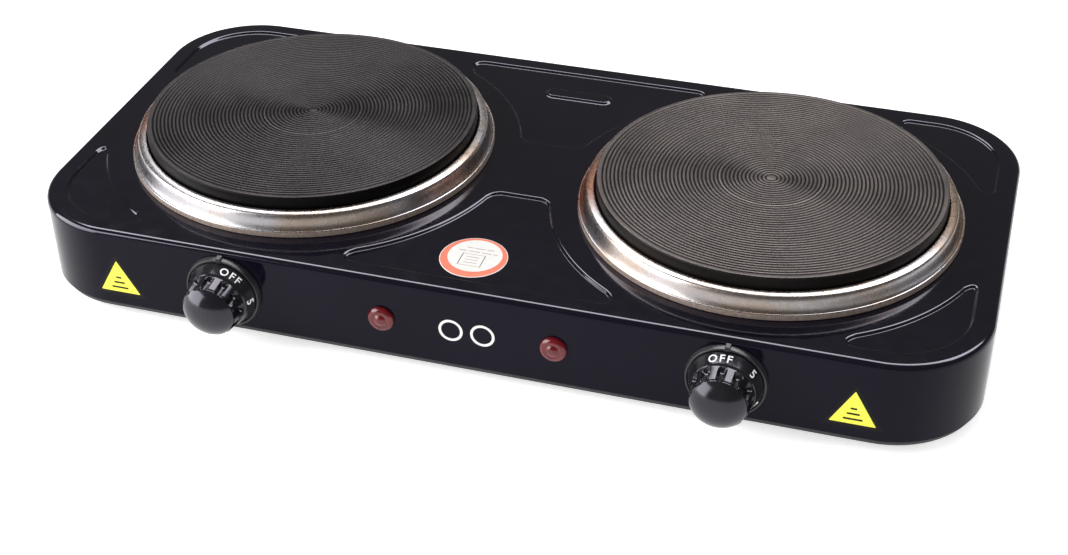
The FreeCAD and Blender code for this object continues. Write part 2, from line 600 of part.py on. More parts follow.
def bezel(side, sign):
    """The fixed ring behind the knob, clamped under the bushing's nut, with a pointer at its top."""
    ring = turned(f"BezelRing_{side}", [
        ("bushing_radius + screw_gap", 0), ("bezel_radius", 0), ("bezel_radius", "bezel_depth - 0.6"),
        ("bezel_radius - 0.6", "bezel_depth"), ("skirt_radius + body_gap", "bezel_depth"),
        ("skirt_radius + body_gap", "bezel_wall"), ("bushing_radius + screw_gap", "bezel_wall")])
    pointer = box(f"Pointer_{side}", 3.2, 2.4, "bezel_depth", 0, "bezel_radius", 0)
    node(on_front(fuse(f"Bezel_{side}", ring, pointer), f"{sign} * knob_x"), f"bezel_{side}")


def thermostat(side, sign):
    """The frame with its bushing, and the stack of ceramic washers that holds the contact blades."""
    x = f"{sign} * knob_x"
    toward = f"{-sign} * stack_offset"
    plate = box(f"FramePlate_{side}", "frame_length", "frame_width", "frame_wall",
                f"{-sign} * (frame_length - frame_width) / 2", 0, "-frame_back")
    bushing = cylinder(f"Bushing_{side}", "bushing_radius", "shell_wall + bushing_out", z="-shell_wall")
    bore = cylinder(f"BushingBore_{side}", "spindle_radius + running_gap", "frame_back + bushing_out",
                    z="-frame_back")
    rivet_hole = cylinder(f"FrameRivetHole_{side}", "rivet_radius + screw_gap", "frame_wall", toward, 0,
                          "-frame_back")
    frame = cut(f"Frame_{side}", fuse(f"FrameSolid_{side}", plate, bushing), bore, rivet_hole)
    node(on_front(frame, x), f"thermostat_frame_{side}")
    layer = cut(f"Layer_{side}", cylinder(f"LayerDisc_{side}", "stack_radius", "stack_layer"),
                cylinder(f"LayerBore_{side}", "rivet_radius + screw_gap", "stack_layer"))
    spots = [(toward, 0, f"-frame_back - {i + 1} * stack_layer - {i} * blade_wall") for i in range(4)]
    stack = group(f"Stack_{side}", copies(f"Layer_{side}", layer, spots))
    node(on_front(stack, x), f"thermostat_stack_{side}")
    strip = box(f"BladeStrip_{side}", "blade_reach", "blade_width", "blade_wall", f"{sign} * blade_reach / 2")
    tail = cylinder(f"BladeTail_{side}", "stack_radius", "blade_wall")
    blade = cut(f"Blade_{side}", fuse(f"BladeSolid_{side}", strip, tail),
                cylinder(f"BladeBore_{side}", "rivet_radius + screw_gap", "blade_wall"))
    spots = [(toward, 0, f"-frame_back - {i + 1} * (stack_layer + blade_wall)") for i in range(3)]
    blades = group(f"Blades_{side}", copies(f"Blade_{side}", blade, spots))
    node(on_front(blades, x), f"contact_blades_{side}")


def control_fasteners():
    """The nut on each bushing and the rivet through each stack."""
    nut = hexagon("BushingNut", "bushing_flats", "thin_nut", "bushing_radius + screw_gap")
    spots = [(f"{sign} * knob_x", "front - bezel_wall", "control_z") for side, sign in SIDES]
    node(group("BushingNuts", copies("BushingNut", nut, spots, OUT_OF_FRONT)), "bushing_nuts")
    rivet = cylinder("Rivet", "rivet_radius", "stack_end - shell_wall")
    spots = [(f"{sign} * stack_x", "front + stack_end", "control_z") for side, sign in SIDES]
    node(group("StackRivets", copies("Rivet", rivet, spots, OUT_OF_FRONT)), "stack_rivets")


# ---------------------------------------------------------------- pilot lamps
def lamp_lens(side, sign):
    """A red moulding: a domed lens outside the wall and a hollow barrel behind it."""
    dome = [(f"{math.cos(math.radians(a)):.5f} * (lens_radius - 0.6)",
             f"lens_rim + {math.sin(math.radians(a)):.5f} * lens_dome") for a in (0, 30, 60)]
    inner = "barrel_radius - lens_wall"
    lens = turned(f"Lens_{side}", [
        ("lens_radius", 0), ("lens_radius", "lens_rim"), *dome, (0, "lens_rim + lens_dome"),
        (0, "lens_rim"), (inner, 0), (inner, "-barrel_length"), ("barrel_radius", "-barrel_length"),
        ("barrel_radius", 0)])
    node(on_front(lens, f"{sign} * lamp_offset"), f"lamp_lens_{side}")


def lamp_insides():
    """The neon tube in each barrel and the spring clip that holds the barrel behind the wall."""
    neon = turned("Neon", [(0, "-neon_length"), ("neon_radius", "-neon_length"), ("neon_radius", -1.6),
                           ("neon_radius * 0.6", -0.5), (0, 0)])
    clip = cut("LampClip", cylinder("ClipDisc", "barrel_radius + clip_flange", "clip_wall"),
               cylinder("ClipBore", "barrel_radius + screw_gap", "clip_wall"))
    spots = [(f"{sign} * lamp_offset", "front + 1", "control_z") for side, sign in SIDES]
    node(group("NeonLamps", copies("Neon", neon, spots, OUT_OF_FRONT)), "neon_lamps")
    spots = [(x, "front + shell_wall + clip_wall", z) for x, y, z in spots]
    node(group("LampClips", copies("LampClip", clip, spots, OUT_OF_FRONT)), "lamp_clips")


# ---------------------------------------------------------------- mains entry and wiring
def mains_entry():
    """The cord gland in the rear wall, the terminal strip behind it and the earth point on the pan."""
    gland = turned("Gland", [
        ("cord_hole", "gland_flange"), ("gland_radius - 1", "gland_flange"),
        ("gland_radius", "gland_flange - 1"), ("gland_radius", 0), ("gland_neck", 0),
        ("gland_neck", "-shell_wall"), ("gland_radius - 1", "-shell_wall"),
        ("gland_neck", "-shell_wall - gland_inside"), ("cord_hole", "-shell_wall - gland_inside")])
    node(place(gland, 0, "-front", "control_z", OUT_OF_BACK), "cord_gland")
    strip = box("Strip", "strip_length", "strip_width", "strip_height", 0, "strip_y", "pan_floor")
    top = "pan_floor + strip_height - 4"
    spots = [(f"{i} * terminal_pitch", f"strip_y + {j} * strip_width / 4", top)
             for i in (-1, 0, 1) for j in (-1, 1)]
    wells = copies("Well", cylinder("Well", "terminal_radius + screw_gap", 5), spots)
    node(cut("TerminalStrip", strip, *wells), "terminal_strip")
    pins = copies("TerminalScrew", cylinder("TerminalScrew", "terminal_radius", 3.2), spots)
    node(group("TerminalScrews", pins), "terminal_screws")
    at = ("earth_offset", "strip_y")
    node(place(screw("EarthScrew", "screw_length"), *at, "foot_height"), "earth_screw")
    tag = cut("Tag", cylinder("TagDisc", "tag_radius", "tag_wall"),
              cylinder("TagBore", "screw_hole", "tag_wall"))
    node(place(tag, *at, "pan_floor"), "earth_tag")
    nut = hexagon("EarthNut", "screw_flats", "screw_nut", "screw_hole")
    node(place(nut, *at, "pan_floor + tag_wall"), "earth_nut")


def lead(radius, points):
    """A round lead along straight runs joined by tangent arcs as large as the runs allow."""
    spots = [Vector(*point) for point in points]
    edges, last = [], spots[0]
    for before, corner, after in zip(spots, spots[1:], spots[2:]):
        into, away = corner - before, after - corner
        back = 0.45 * min(into.Length, away.Length)
        half_turn = into.getAngle(away) / 2
        bend = back / math.tan(half_turn)
        start = corner - into.normalize() * back
        end = corner + away.normalize() * back
        inward = (away - into).normalize()
        middle = corner + inward * (bend / math.cos(half_turn) - bend)
        edges += [Part.LineSegment(last, start).toShape(), Part.Arc(start, middle, end).toShape()]
        last = end
    edges.append(Part.LineSegment(last, spots[-1]).toShape())
    path = Part.Wire(edges)
    length = path.Length
    ring = Part.Wire(Part.makeCircle(radius, spots[0], spots[1] - spots[0]))
    solid = path.makePipeShell([ring], True, False)
    if abs(solid.Volume / (math.pi * radius ** 2 * length) - 1) > 0.02:
        raise ValueError("a lead's volume does not match its length")
    return solid


def wiring(name, label, solids):
    made = doc.addObject("Part::Feature", name)
    made.Shape = Part.makeCompound(solids)
    node(made, label)


def leads():
    """Every lead inside the housing, from the strip to the thermostats, plates, lamps and earth tag."""
    thick, thin = size("lead_radius"), size("lamp_lead_radius")
    strip_face = size("strip_y") - size("strip_width") / 2
    low = size("pan_floor") + size("lead_height")
    high = size("control_z")
    block_x, block_z, plate_y = size("block_x"), size("block_bottom"), size("plate_y")
    stack_x, stack_y = size("stack_x"), size("front") + size("stack_end")
    neon_x, neon_y = size("lamp_offset"), size("front") + 1 + size("neon_length")
    pitch = size("lead_pitch")
    supply, output, back, lamp = [], [], [], []
    for side, sign in SIDES:
        x = sign
        supply.append(lead(thick, [
            (x * 0.5 * pitch, strip_face, low), (x * 0.5 * pitch, strip_face - 16, low),
            (x * 0.35 * block_x, plate_y + 20, low), (x * 0.8 * block_x, plate_y - 40, low),
            (x * (stack_x - 8), stack_y + 36, low + 6), (x * (stack_x - 2.4), stack_y + 18, high),
            (x * (stack_x - 2.4), stack_y, high)]))
        output.append(lead(thick, [
            (x * (stack_x + 2.4), stack_y, high), (x * (stack_x + 2.4), stack_y + 18, high),
            (x * (block_x + 22), plate_y - 42, high + 2), (x * (block_x + 8), plate_y - 4, high + 3),
            (x * (block_x + 8), plate_y - 4, block_z)]))
        back.append(lead(thick, [
            (x * (block_x - 6), plate_y + 4, block_z), (x * (block_x - 6), plate_y + 4, high + 4),
            (x * (block_x - 30), plate_y + 34, high - 6), (x * 1.5 * pitch, strip_face - 20, low),
            (x * 1.5 * pitch, strip_face, low)]))
        for k in (-1, 1):
            tail, end = x * neon_x + 1.2 * k, x * (block_x - 12) + 2 * k
            lamp.append(lead(thin, [
                (tail, neon_y, high), (tail, neon_y + 20, high), (end, plate_y - 36, high + 4),
                (end, plate_y - 4, high + 5), (end, plate_y - 4, block_z)]))
    wiring("SupplyLeads", "supply_leads", supply)
    wiring("OutputLeads", "thermostat_leads", output)
    wiring("ReturnLeads", "return_leads", back)
    wiring("LampLeads", "lamp_leads", lamp)
    tag_x, tag_z = size("earth_offset") - size("tag_radius"), size("pan_floor") + size("tag_wall") / 2
    side_x = size("strip_length") / 2
    earth = lead(thick, [(side_x, size("strip_y") - 3, low), (side_x + 8, size("strip_y") - 3, low),
                         (tag_x - 8, size("strip_y"), tag_z + 1.5), (tag_x, size("strip_y"), tag_z + 1.5)])
    wiring("EarthLead", "earth_lead", [earth])


# ---------------------------------------------------------------- labels
def labels():
    """Thin labels: a triangle at each end of the front wall, a round one on top, a mark between the lamps."""
    skin = rounded_block("LabelSkin", "body_length + 2 * label_wall", "body_depth + 2 * label_wall",
                         "shell_height / 2 + triangle_base", "corner_radius + label_wall")
    blank = rounded_block("LabelBlank", "body_length", "body_depth", "shell_height", "corner_radius")
    film = cut("LabelFilm", place(skin, z="shell_bottom"), place(blank, z="shell_bottom"))
    triangles = []
    for side, sign in SIDES:
        body = doc.addObject("PartDesign::Body", f"Triangle_{side}")
        low = "foot_height + triangle_base"
        pad = body.newObject("PartDesign::Pad", f"TrianglePad_{side}")
        pad.Profile = outline(body, "XZ_Plane", [
            (f"{sign} * triangle_centre - triangle_side / 2", low),
            (f"{sign} * triangle_centre + triangle_side / 2", low),
            (f"{sign} * triangle_centre", f"{low} + triangle_side * {math.sqrt(0.75):.5f}")])
        bind(pad, Length="body_depth")
        triangles.append(body)
    node(common("HotLabels", film, fuse("Triangles", *triangles)), "hot_labels")
    disc = cylinder("RoundLabel", "round_label_radius", "label_wall", "round_label_x", "round_label_y",
                    "shell_top - panel_depth")
    node(disc, "round_label")
    ring = cut("EmblemRing", cylinder("EmblemDisc", "emblem_radius", "label_wall"),
               cylinder("EmblemHole", "emblem_radius - 1.4", "label_wall"))
    spots = [(f"{sign} * emblem_shift", "front", "control_z") for side, sign in SIDES]
    node(group("FrontEmblem", copies("EmblemRing", ring, spots, OUT_OF_FRONT)), "front_emblem")


# ---------------------------------------------------------------- the whole hot plate
def build():
    top_shell()
    base_pan()
    closing_hardware()
    feet()
    for side, sign in SIDES:
        turn = size("left_knob_turn") if side == "left" else 0
        heating_plate(side, sign)
        trim_ring(side, sign)
        plate_fixing(side, sign)
        knob(side, sign, turn)
        spindle(side, sign, turn)
        bezel(side, sign)
        thermostat(side, sign)
        lamp_lens(side, sign)
    plate_fasteners()
    control_fasteners()
    lamp_insides()
    mains_entry()
    leads()
    labels()
    doc.recompute()


def write():
    """Check every object, then write one file for each piece."""
    for thing in doc.Objects:
        if {"Invalid", "Error"} & set(thing.State):
            raise ValueError(f"{thing.Label} failed: {thing.State}")
    for thing in NODES:
        if thing.Shape.isNull() or not thing.Shape.isValid():
            raise ValueError(f"{thing.Label} has no valid shape")
    for thing in NODES:
        thing.Shape.exportStep(f"parts/{thing.Label}.step")
    print(len(NODES), "pieces written")


build()
write()
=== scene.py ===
"""The looks of a twin hot plate: an enamelled pressing with two cast-iron plates and two dial knobs.

Shapes are modelled in millimetres in the part's own frame and brought to metres as each piece is finished.
"""

import math

import bmesh
import bpy
from mathutils import Matrix, Quaternion, Vector
from mathutils.geometry import interpolate_bezier


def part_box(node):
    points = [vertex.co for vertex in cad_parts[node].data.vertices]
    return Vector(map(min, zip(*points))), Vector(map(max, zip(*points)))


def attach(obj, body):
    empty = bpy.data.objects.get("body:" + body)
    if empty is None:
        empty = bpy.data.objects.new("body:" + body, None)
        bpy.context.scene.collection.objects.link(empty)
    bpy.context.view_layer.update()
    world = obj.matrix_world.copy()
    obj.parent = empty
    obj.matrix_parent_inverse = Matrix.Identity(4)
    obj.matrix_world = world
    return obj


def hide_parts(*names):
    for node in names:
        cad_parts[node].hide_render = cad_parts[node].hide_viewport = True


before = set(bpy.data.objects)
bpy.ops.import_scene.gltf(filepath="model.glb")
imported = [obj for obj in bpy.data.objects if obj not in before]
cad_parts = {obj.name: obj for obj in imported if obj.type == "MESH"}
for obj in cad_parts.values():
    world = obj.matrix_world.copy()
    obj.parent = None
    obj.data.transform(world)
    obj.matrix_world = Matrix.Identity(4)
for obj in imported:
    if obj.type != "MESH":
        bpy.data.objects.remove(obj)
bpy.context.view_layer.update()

MM = 0.001
FULL_TURN = 2 * math.pi
SIDES = (("left", -1), ("right", 1))


# ---------------------------------------------------------------- measures taken from the frame
def low(node):
    return Vector(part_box(node)[0]) / MM


def high(node):
    return Vector(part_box(node)[1]) / MM


def middle(node):
    return (low(node) + high(node)) / 2


BODY = middle("top_shell")
BODY_SIZE = high("top_shell") - low("top_shell")
BODY_TOP = high("top_shell").z
FRONT = low("top_shell").y
PLATE_TOP = high("hotplate_left").z
PLATE_RADIUS = (high("hotplate_left") - low("hotplate_left")).x / 2
SEAT = low("hotplate_left").z
PLATES = {side: Vector((middle("hotplate_" + side).x, middle("hotplate_" + side).y, 0)) for side, _ in SIDES}
RING_LIP = (high("trim_ring_left") - low("trim_ring_left")).x / 2
CONTROL_HEIGHT = middle("knob_right").z
KNOB_X = middle("knob_right").x
LAMP_X = middle("lamp_lens_right").x
CORNER = 50.5
EDGE_ROUND = 3.0
SHELL_WALL = 0.8
OPENING = 84.0
BUSHING_HOLE, LAMP_HOLE, GLAND_HOLE = 5.1, 5.5, 7.1

# the pressed panels: how deep they are and how wide their sloping sides are,
# then the plain metal left by the walls, round the rings and between the panels
PANEL_DEPTH, PANEL_SLOPE = 1.2, 2.2
PANEL_MARGIN, RING_GAP, END_GAP, MIDDLE_GAP = 10.5, 13.5, 84.0, 53.0
FRONT_GAP = (73.0, 185.0)
ISLAND_HALF, ISLAND_ROUND, ISLAND_BACK, ISLAND_SLOPE = 15.0, 6.0, 86.5, 2.4


# ---------------------------------------------------------------- modelling helpers
def move(bm, offset):
    bmesh.ops.translate(bm, vec=offset, verts=bm.verts)


def turn(bm, degrees, axis):
    bmesh.ops.rotate(bm, matrix=Matrix.Rotation(math.radians(degrees), 3, axis), verts=bm.verts)


def on_front(bm, x, clockwise=0):
    """Stand a shape made with +Z as the way out of the wall on the front wall at control height."""
    turn(bm, -clockwise, "Z")
    turn(bm, 90, "X")
    move(bm, (x, FRONT, CONTROL_HEIGHT))


def block(length, width, height):
    """A box centred on x and y, standing on zero."""
    bm = bmesh.new()
    bmesh.ops.create_cube(bm, size=1)
    bmesh.ops.scale(bm, vec=(length, width, height), verts=bm.verts)
    move(bm, (0, 0, height / 2))
    return bm


def rod(radius, height, sides=96):
    """A capped cylinder standing on zero."""
    bm = bmesh.new()
    bmesh.ops.create_cone(bm, cap_ends=True, segments=sides, radius1=radius, radius2=radius, depth=height)
    move(bm, (0, 0, height / 2))
    return bm


def round_edges(bm, edges, radius, segments):
    bmesh.ops.bevel(bm, geom=list(edges), offset=radius, offset_type="OFFSET", segments=segments,
                    profile=0.5, affect="EDGES", material=-1)
    bm.normal_update()


def uprights(bm):
    return [e for e in bm.edges if abs((e.verts[0].co - e.verts[1].co).normalized().z) > 0.99]


def spun(profile, steps, closed=True):
    """The skin swept by turning a (radius, height) profile once about Z."""
    bm = bmesh.new()
    verts = [bm.verts.new((radius, 0, height)) for radius, height in profile]
    edges = [bm.edges.new(pair) for pair in zip(verts, verts[1:])]
    if closed:
        edges.append(bm.edges.new((verts[-1], verts[0])))
    bmesh.ops.spin(bm, geom=verts + edges, cent=(0, 0, 0), axis=(0, 0, 1), steps=steps,
                   angle=FULL_TURN, use_merge=True)
    bmesh.ops.remove_doubles(bm, verts=bm.verts, dist=0.001)
    bmesh.ops.dissolve_degenerate(bm, edges=bm.edges, dist=0.0001)
    bmesh.ops.recalc_face_normals(bm, faces=bm.faces)
    return bm


def arc(centre, radius, start, end, steps):
    """Points of a profile's arc, from one angle to another in degrees."""
    turns = [math.radians(start + (end - start) * i / steps) for i in range(steps + 1)]
    return [(centre[0] + radius * math.cos(a), centre[1] + radius * math.sin(a)) for a in turns]


def sweep(start, lead_out, lead_in, end, steps):
    """Points of a profile's easy curve between two points, drawn by its two handles."""
    found = interpolate_bezier(*(Vector((*p, 0)) for p in (start, lead_out, lead_in, end)), steps)
    return [(p.x, p.y) for p in found]


def as_object(name, bm):
    mesh = bpy.data.meshes.new(name)
    bm.to_mesh(mesh)
    bm.free()
    made = bpy.data.objects.new(name, mesh)
    bpy.context.collection.objects.link(made)
    return made


def settled(made, *tools):
    """The shape of an object with its modifiers worked in. The object and its tools are used up."""
    graph = bpy.context.evaluated_depsgraph_get()
    mesh = bpy.data.meshes.new_from_object(made.evaluated_get(graph))
    bm = bmesh.new()
    bm.from_mesh(mesh)
    for used in (made, *tools):
        data = used.data
        bpy.data.objects.remove(used)
        if isinstance(data, bpy.types.Mesh):
            bpy.data.meshes.remove(data)
    bpy.data.meshes.remove(mesh)
    return bm


def carved(bm, *cutters):
    """The solid with every cutter's room taken out of it."""
    made = as_object("blank", bm)
    tools = [as_object("cutter", cutter) for cutter in cutters]
    for tool in tools:
        cut = made.modifiers.new("cut", "BOOLEAN")
        cut.operation = "DIFFERENCE"
        cut.solver = "EXACT"
        cut.object = tool
    return settled(made, *tools)


def walled(bm, thickness):
    """The skin given a wall on its inner side."""
    made = as_object("skin", bm)
    wall = made.modifiers.new("wall", "SOLIDIFY")
    wall.thickness = thickness
    wall.offset = -1
    return settled(made)


def added(whole, bm):
    """The faces that another shape brings into a shape. The other shape is used up."""
    before = set(whole.faces)
    mesh = bpy.data.meshes.new("part")
    bm.to_mesh(mesh)
    bm.free()
    whole.from_mesh(mesh)
    bpy.data.meshes.remove(mesh)
    return [f for f in whole.faces if f not in before]


def joined(*shapes):
    """One shape holding all the others."""
    whole = bmesh.new()
    for bm in shapes:
        added(whole, bm)
    return whole


def painted(bm, index):
    for face in bm.faces:
        face.material_index = index
    return bm


def piece(name, bm, body, finishes, stands_for=(), soften=0.0, crease=35):
    """Finish a shape as a piece that rides on a body: to metres, smooth, creased at its sharp edges."""
    bmesh.ops.scale(bm, vec=(MM, MM, MM), verts=bm.verts)
    made = as_object(name, bm)
    for finish in finishes:
        made.data.materials.append(finish)
    made.data.polygons.foreach_set("use_smooth", [True] * len(made.data.polygons))
    made.data.set_sharp_from_angle(angle=math.radians(crease))
    if soften:
        bevel = made.modifiers.new("soft_edges", "BEVEL")
        bevel.width = soften * MM
        bevel.segments = 3
        bevel.limit_method = "ANGLE"
        bevel.angle_limit = math.radians(crease)
    weighted = made.modifiers.new("weighted_normals", "WEIGHTED_NORMAL")
    weighted.keep_sharp = not soften
    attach(made, body)
    if stands_for:
        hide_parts(*stands_for)
    return made


# ---------------------------------------------------------------- finishes
class Finish:
    """A procedural material built up layer by layer over one Principled shader, in Object coordinates."""

    def __init__(self, name, colour, roughness, metallic=0.0, **sockets):
        self.material = bpy.data.materials.new(name)
        self.material.use_nodes = True
        self.nodes = self.material.node_tree.nodes
        self.links = self.material.node_tree.links
        self.shader = next(n for n in self.nodes if n.type == "BSDF_PRINCIPLED")
        self.place = self.nodes.new("ShaderNodeTexCoord").outputs["Object"]
        self.shader.inputs["Base Color"].default_value = (*colour, 1)
        self.shader.inputs["Roughness"].default_value = roughness
        self.shader.inputs["Metallic"].default_value = metallic
        for socket, value in sockets.items():
            self.shader.inputs[socket.replace("_", " ")].default_value = value
        self.normal = None

    def link(self, out, into):
        self.links.new(out, into)

    def mapped(self, scale=(1, 1, 1), centre=(0, 0, 0)):
        """Object coordinates measured from a centre and stretched."""
        node = self.nodes.new("ShaderNodeMapping")
        node.vector_type = "POINT"
        node.inputs["Scale"].default_value = scale
        node.inputs["Location"].default_value = [-c * s for c, s in zip(centre, scale)]
        self.link(self.place, node.inputs["Vector"])
        return node.outputs["Vector"]

    def distance(self, centre, kept=(1, 1, 1)):
        """How far a spot lies from a centre, in metres, counted along the kept axes."""
        node = self.nodes.new("ShaderNodeVectorMath")
        node.operation = "LENGTH"
        self.link(self.mapped(kept, centre), node.inputs[0])
        return node.outputs["Value"]

    def level(self):
        """The height above the feet, in metres."""
        node = self.nodes.new("ShaderNodeSeparateXYZ")
        self.link(self.place, node.inputs["Vector"])
        return node.outputs["Z"]

    def noise(self, size, detail=4.0, rough=0.55, place=None, warp=0.0):
        """Cloudy noise whose blotches are about as large as the size in millimetres."""
        node = self.nodes.new("ShaderNodeTexNoise")
        node.inputs["Scale"].default_value = 1 / (size * MM)
        node.inputs["Detail"].default_value = detail
        node.inputs["Roughness"].default_value = rough
        node.inputs["Distortion"].default_value = warp
        self.link(place or self.place, node.inputs["Vector"])
        return node.outputs["Fac"]

    def ramp(self, factor, *stops):
        """A colour for each (position, colour) stop along a factor."""
        node = self.nodes.new("ShaderNodeValToRGB")
        while len(node.color_ramp.elements) < len(stops):
            node.color_ramp.elements.new(0.5)
        for element, (position, colour) in zip(node.color_ramp.elements, stops):
            element.position = position
            element.color = (*colour, 1)
        self.link(factor, node.inputs["Fac"])
        return node.outputs["Color"]

    def span(self, factor, low_value, high_value, start=0.3, end=0.7):
        """A factor's middle range stretched between two values."""
        node = self.nodes.new("ShaderNodeMapRange")
        for socket, value in zip(("From Min", "From Max", "To Min", "To Max"),
                                 (start, end, low_value, high_value)):
            node.inputs[socket].default_value = value
        self.link(factor, node.inputs["Value"])
        return node.outputs["Result"]

    def combined(self, operation, first, second):
        node = self.nodes.new("ShaderNodeMath")
        node.operation = operation
        for value, socket in zip((first, second), node.inputs):
            if isinstance(value, (int, float)):
                socket.default_value = value
            else:
                self.link(value, socket)
        return node.outputs["Value"]

    def blend(self, factor, first, second):
        """One colour laid over another where the factor says."""
        node = self.nodes.new("ShaderNodeMix")
        node.data_type = "RGBA"
        self.link(factor, node.inputs["Factor"])
        for value, socket in ((first, node.inputs["A"]), (second, node.inputs["B"])):
            if isinstance(value, tuple):
                socket.default_value = (*value, 1)
            else:
                self.link(value, socket)
        return node.outputs["Result"]

    def paint(self, colour):
        self.link(colour, self.shader.inputs["Base Color"])
        return self

    def sheen_of(self, roughness):
        self.link(roughness, self.shader.inputs["Roughness"])
        return self

    def relief(self, height, depth, strength=1.0):
        """Fine relief of a depth in millimetres, added over what is there."""
        node = self.nodes.new("ShaderNodeBump")
        node.inputs["Distance"].default_value = depth * MM
        node.inputs["Strength"].default_value = strength
        self.link(height, node.inputs["Height"])
        if self.normal is not None:
            self.link(self.normal, node.inputs["Normal"])
        self.normal = node.outputs["Normal"]
        self.link(self.normal, self.shader.inputs["Normal"])
        return self


def mottled(name, light, dark, roughness, size, metallic=0.0, relief=0.02, spread=0.12, **sockets):
    """A finish clouded between two colours, with its gloss and relief following a finer grain."""
    made = Finish(name, light, roughness, metallic, **sockets)
    made.paint(made.ramp(made.noise(size), (0.3, dark), (0.7, light)))
    fine = made.noise(size / 6, detail=6)
    made.sheen_of(made.span(fine, roughness - spread, roughness + spread))
    made.relief(fine, relief)
    return made


def black_enamel():
    """Vitreous enamel: near black, glossier on the top than on the walls, with a faint orange-peel."""
    made = Finish("black_enamel", (0.006, 0.006, 0.009), 0.08, Specular_Tint=(0.88, 0.84, 1.0, 1))
    shoulder = made.span(made.level(), 0.11, 0.5, (BODY_TOP - 2.2) * MM, (BODY_TOP - 1.3) * MM)
    made.link(shoulder, made.shader.inputs["Specular IOR Level"])
    made.paint(made.ramp(made.noise(60), (0.3, (0.0026, 0.0023, 0.0062)), (0.7, (0.0042, 0.0038, 0.0088))))
    made.sheen_of(made.span(made.noise(9, detail=8), 0.06, 0.12))
    made.relief(made.noise(5, detail=1), 0.004, 0.5)
    made.relief(made.noise(45, detail=2), 0.03, 0.5)
    return made.material


def cast_iron(side, light, dark):
    """A dark machined plate: turned lines round its centre over the iron's own grain, tinted by heat towards
    the rim, with a painted highlight along one thin ring and painted shade on all that lies below the ridge
    crests.
    """
    made = Finish("cast_iron_" + side, light, 0.42, 0.6, Specular_IOR_Level=0.16)
    radius = made.distance(PLATES[side] * MM, kept=(1, 1, 0))
    blotch = made.noise(38, detail=6, rough=0.65)
    base = made.ramp(blotch, (0.32, dark), (0.68, light))
    heat = made.span(radius, 0.0, 1.0, 0.024, 0.034)
    tint = made.blend(made.combined("MULTIPLY", heat, 0.18), base, tuple(c * 1.35 for c in light))
    # painted highlight: a thin ring about 27.5 mm from the centre is lightened
    across = made.span(radius, 0, 1, 0.026, 0.029)
    painted_highlight_ring = made.ramp(across, (0.3, (0, 0, 0)), (0.5, (1, 1, 1)), (0.7, (0, 0, 0)))
    tint = made.blend(made.combined("MULTIPLY", painted_highlight_ring, 0.5), tint, tuple(c * 2.2 for c in light))
    # painted shade: the grooves, the plate's sides and all else lying below the ridge crests are darkened
    painted_shade = made.span(made.level(), 0.96, 0.0, (PLATE_TOP - 0.2) * MM, (PLATE_TOP - 0.09) * MM)
    grain = made.noise(0.9, detail=5, rough=0.7)
    tint = made.blend(made.span(grain, 0.0, 0.45, 0.52, 0.72), tint, tuple(c * 0.35 for c in dark))
    made.paint(made.blend(painted_shade, tint, tuple(c * 0.25 for c in dark)))
    lathe = made.nodes.new("ShaderNodeTexNoise")
    lathe.noise_dimensions = "1D"
    lathe.inputs["Scale"].default_value = 2600
    lathe.inputs["Detail"].default_value = 2
    made.link(radius, lathe.inputs["W"])
    made.sheen_of(made.combined("ADD", made.span(grain, 0.34, 0.5), made.span(blotch, -0.05, 0.05)))
    made.relief(lathe.outputs["Fac"], 0.03, 0.5)
    made.relief(grain, 0.05, 0.45)
    return made.material


def polished_steel():
    """Polished stainless trim with fine rubbing marks, a cloudy straw tint, and a brown patch at the left of
    each ring.
    """
    made = Finish("polished_steel", (0.34, 0.33, 0.34), 0.26, 1.0)
    warm = made.noise(48, detail=3, warp=0.6)
    tint = made.ramp(warm, (0.42, (0.36, 0.345, 0.36)), (0.6, (0.34, 0.285, 0.25)), (0.8, (0.3, 0.18, 0.12)))
    for side, _ in SIDES:
        # a brown patch at the left of each ring, full within 14 mm of a spot by its left edge 6 mm above the
        # top, gone by 42 mm
        away = made.distance((PLATES[side] + Vector((-99, -14, BODY_TOP + 6))) * MM)
        left_brown_patch = made.combined("MULTIPLY", made.span(away, 1.0, 0.0, 0.014, 0.042), 0.85)
        tint = made.blend(left_brown_patch, tint, (0.3, 0.125, 0.075))
    made.paint(tint)
    marks = made.noise(3, detail=8, rough=0.7)
    made.sheen_of(made.span(marks, 0.24, 0.33))
    made.relief(made.noise(14, detail=1), 0.02, 0.4)
    return made.material


def gloss_black():
    """Glossy moulded plastic with soft flow clouds and small handling marks."""
    made = Finish("knob_black", (0.008, 0.008, 0.01), 0.14, Specular_IOR_Level=0.42,
                  Specular_Tint=(0.9, 0.86, 1.0, 1))
    made.paint(made.ramp(made.noise(12), (0.3, (0.006, 0.006, 0.008)), (0.7, (0.012, 0.0115, 0.014))))
    made.sheen_of(made.span(made.noise(2.5, detail=8, rough=0.7), 0.1, 0.24))
    made.relief(made.noise(6, detail=2), 0.01, 0.4)
    return made.material


def satin_black():
    """Satin moulded plastic with a fine spark-eroded texture."""
    made = Finish("bezel_black", (0.02, 0.019, 0.022), 0.38)
    made.paint(made.ramp(made.noise(8), (0.3, (0.014, 0.013, 0.016)), (0.7, (0.026, 0.025, 0.028))))
    texture = made.noise(0.5, detail=3)
    made.sheen_of(made.span(texture, 0.3, 0.46))
    made.relief(texture, 0.02, 0.5)
    return made.material


def lamp_red():
    """Clear red moulding, lit softly from inside its own body."""
    made = Finish("lamp_red", (0.2, 0.012, 0.016), 0.14, Transmission_Weight=0.25, IOR=1.49)
    made.paint(made.ramp(made.noise(4), (0.3, (0.11, 0.003, 0.006)), (0.7, (0.19, 0.006, 0.011))))
    made.sheen_of(made.span(made.noise(1.2), 0.1, 0.2))
    made.relief(made.noise(3, detail=1), 0.02, 0.4)
    return made.material


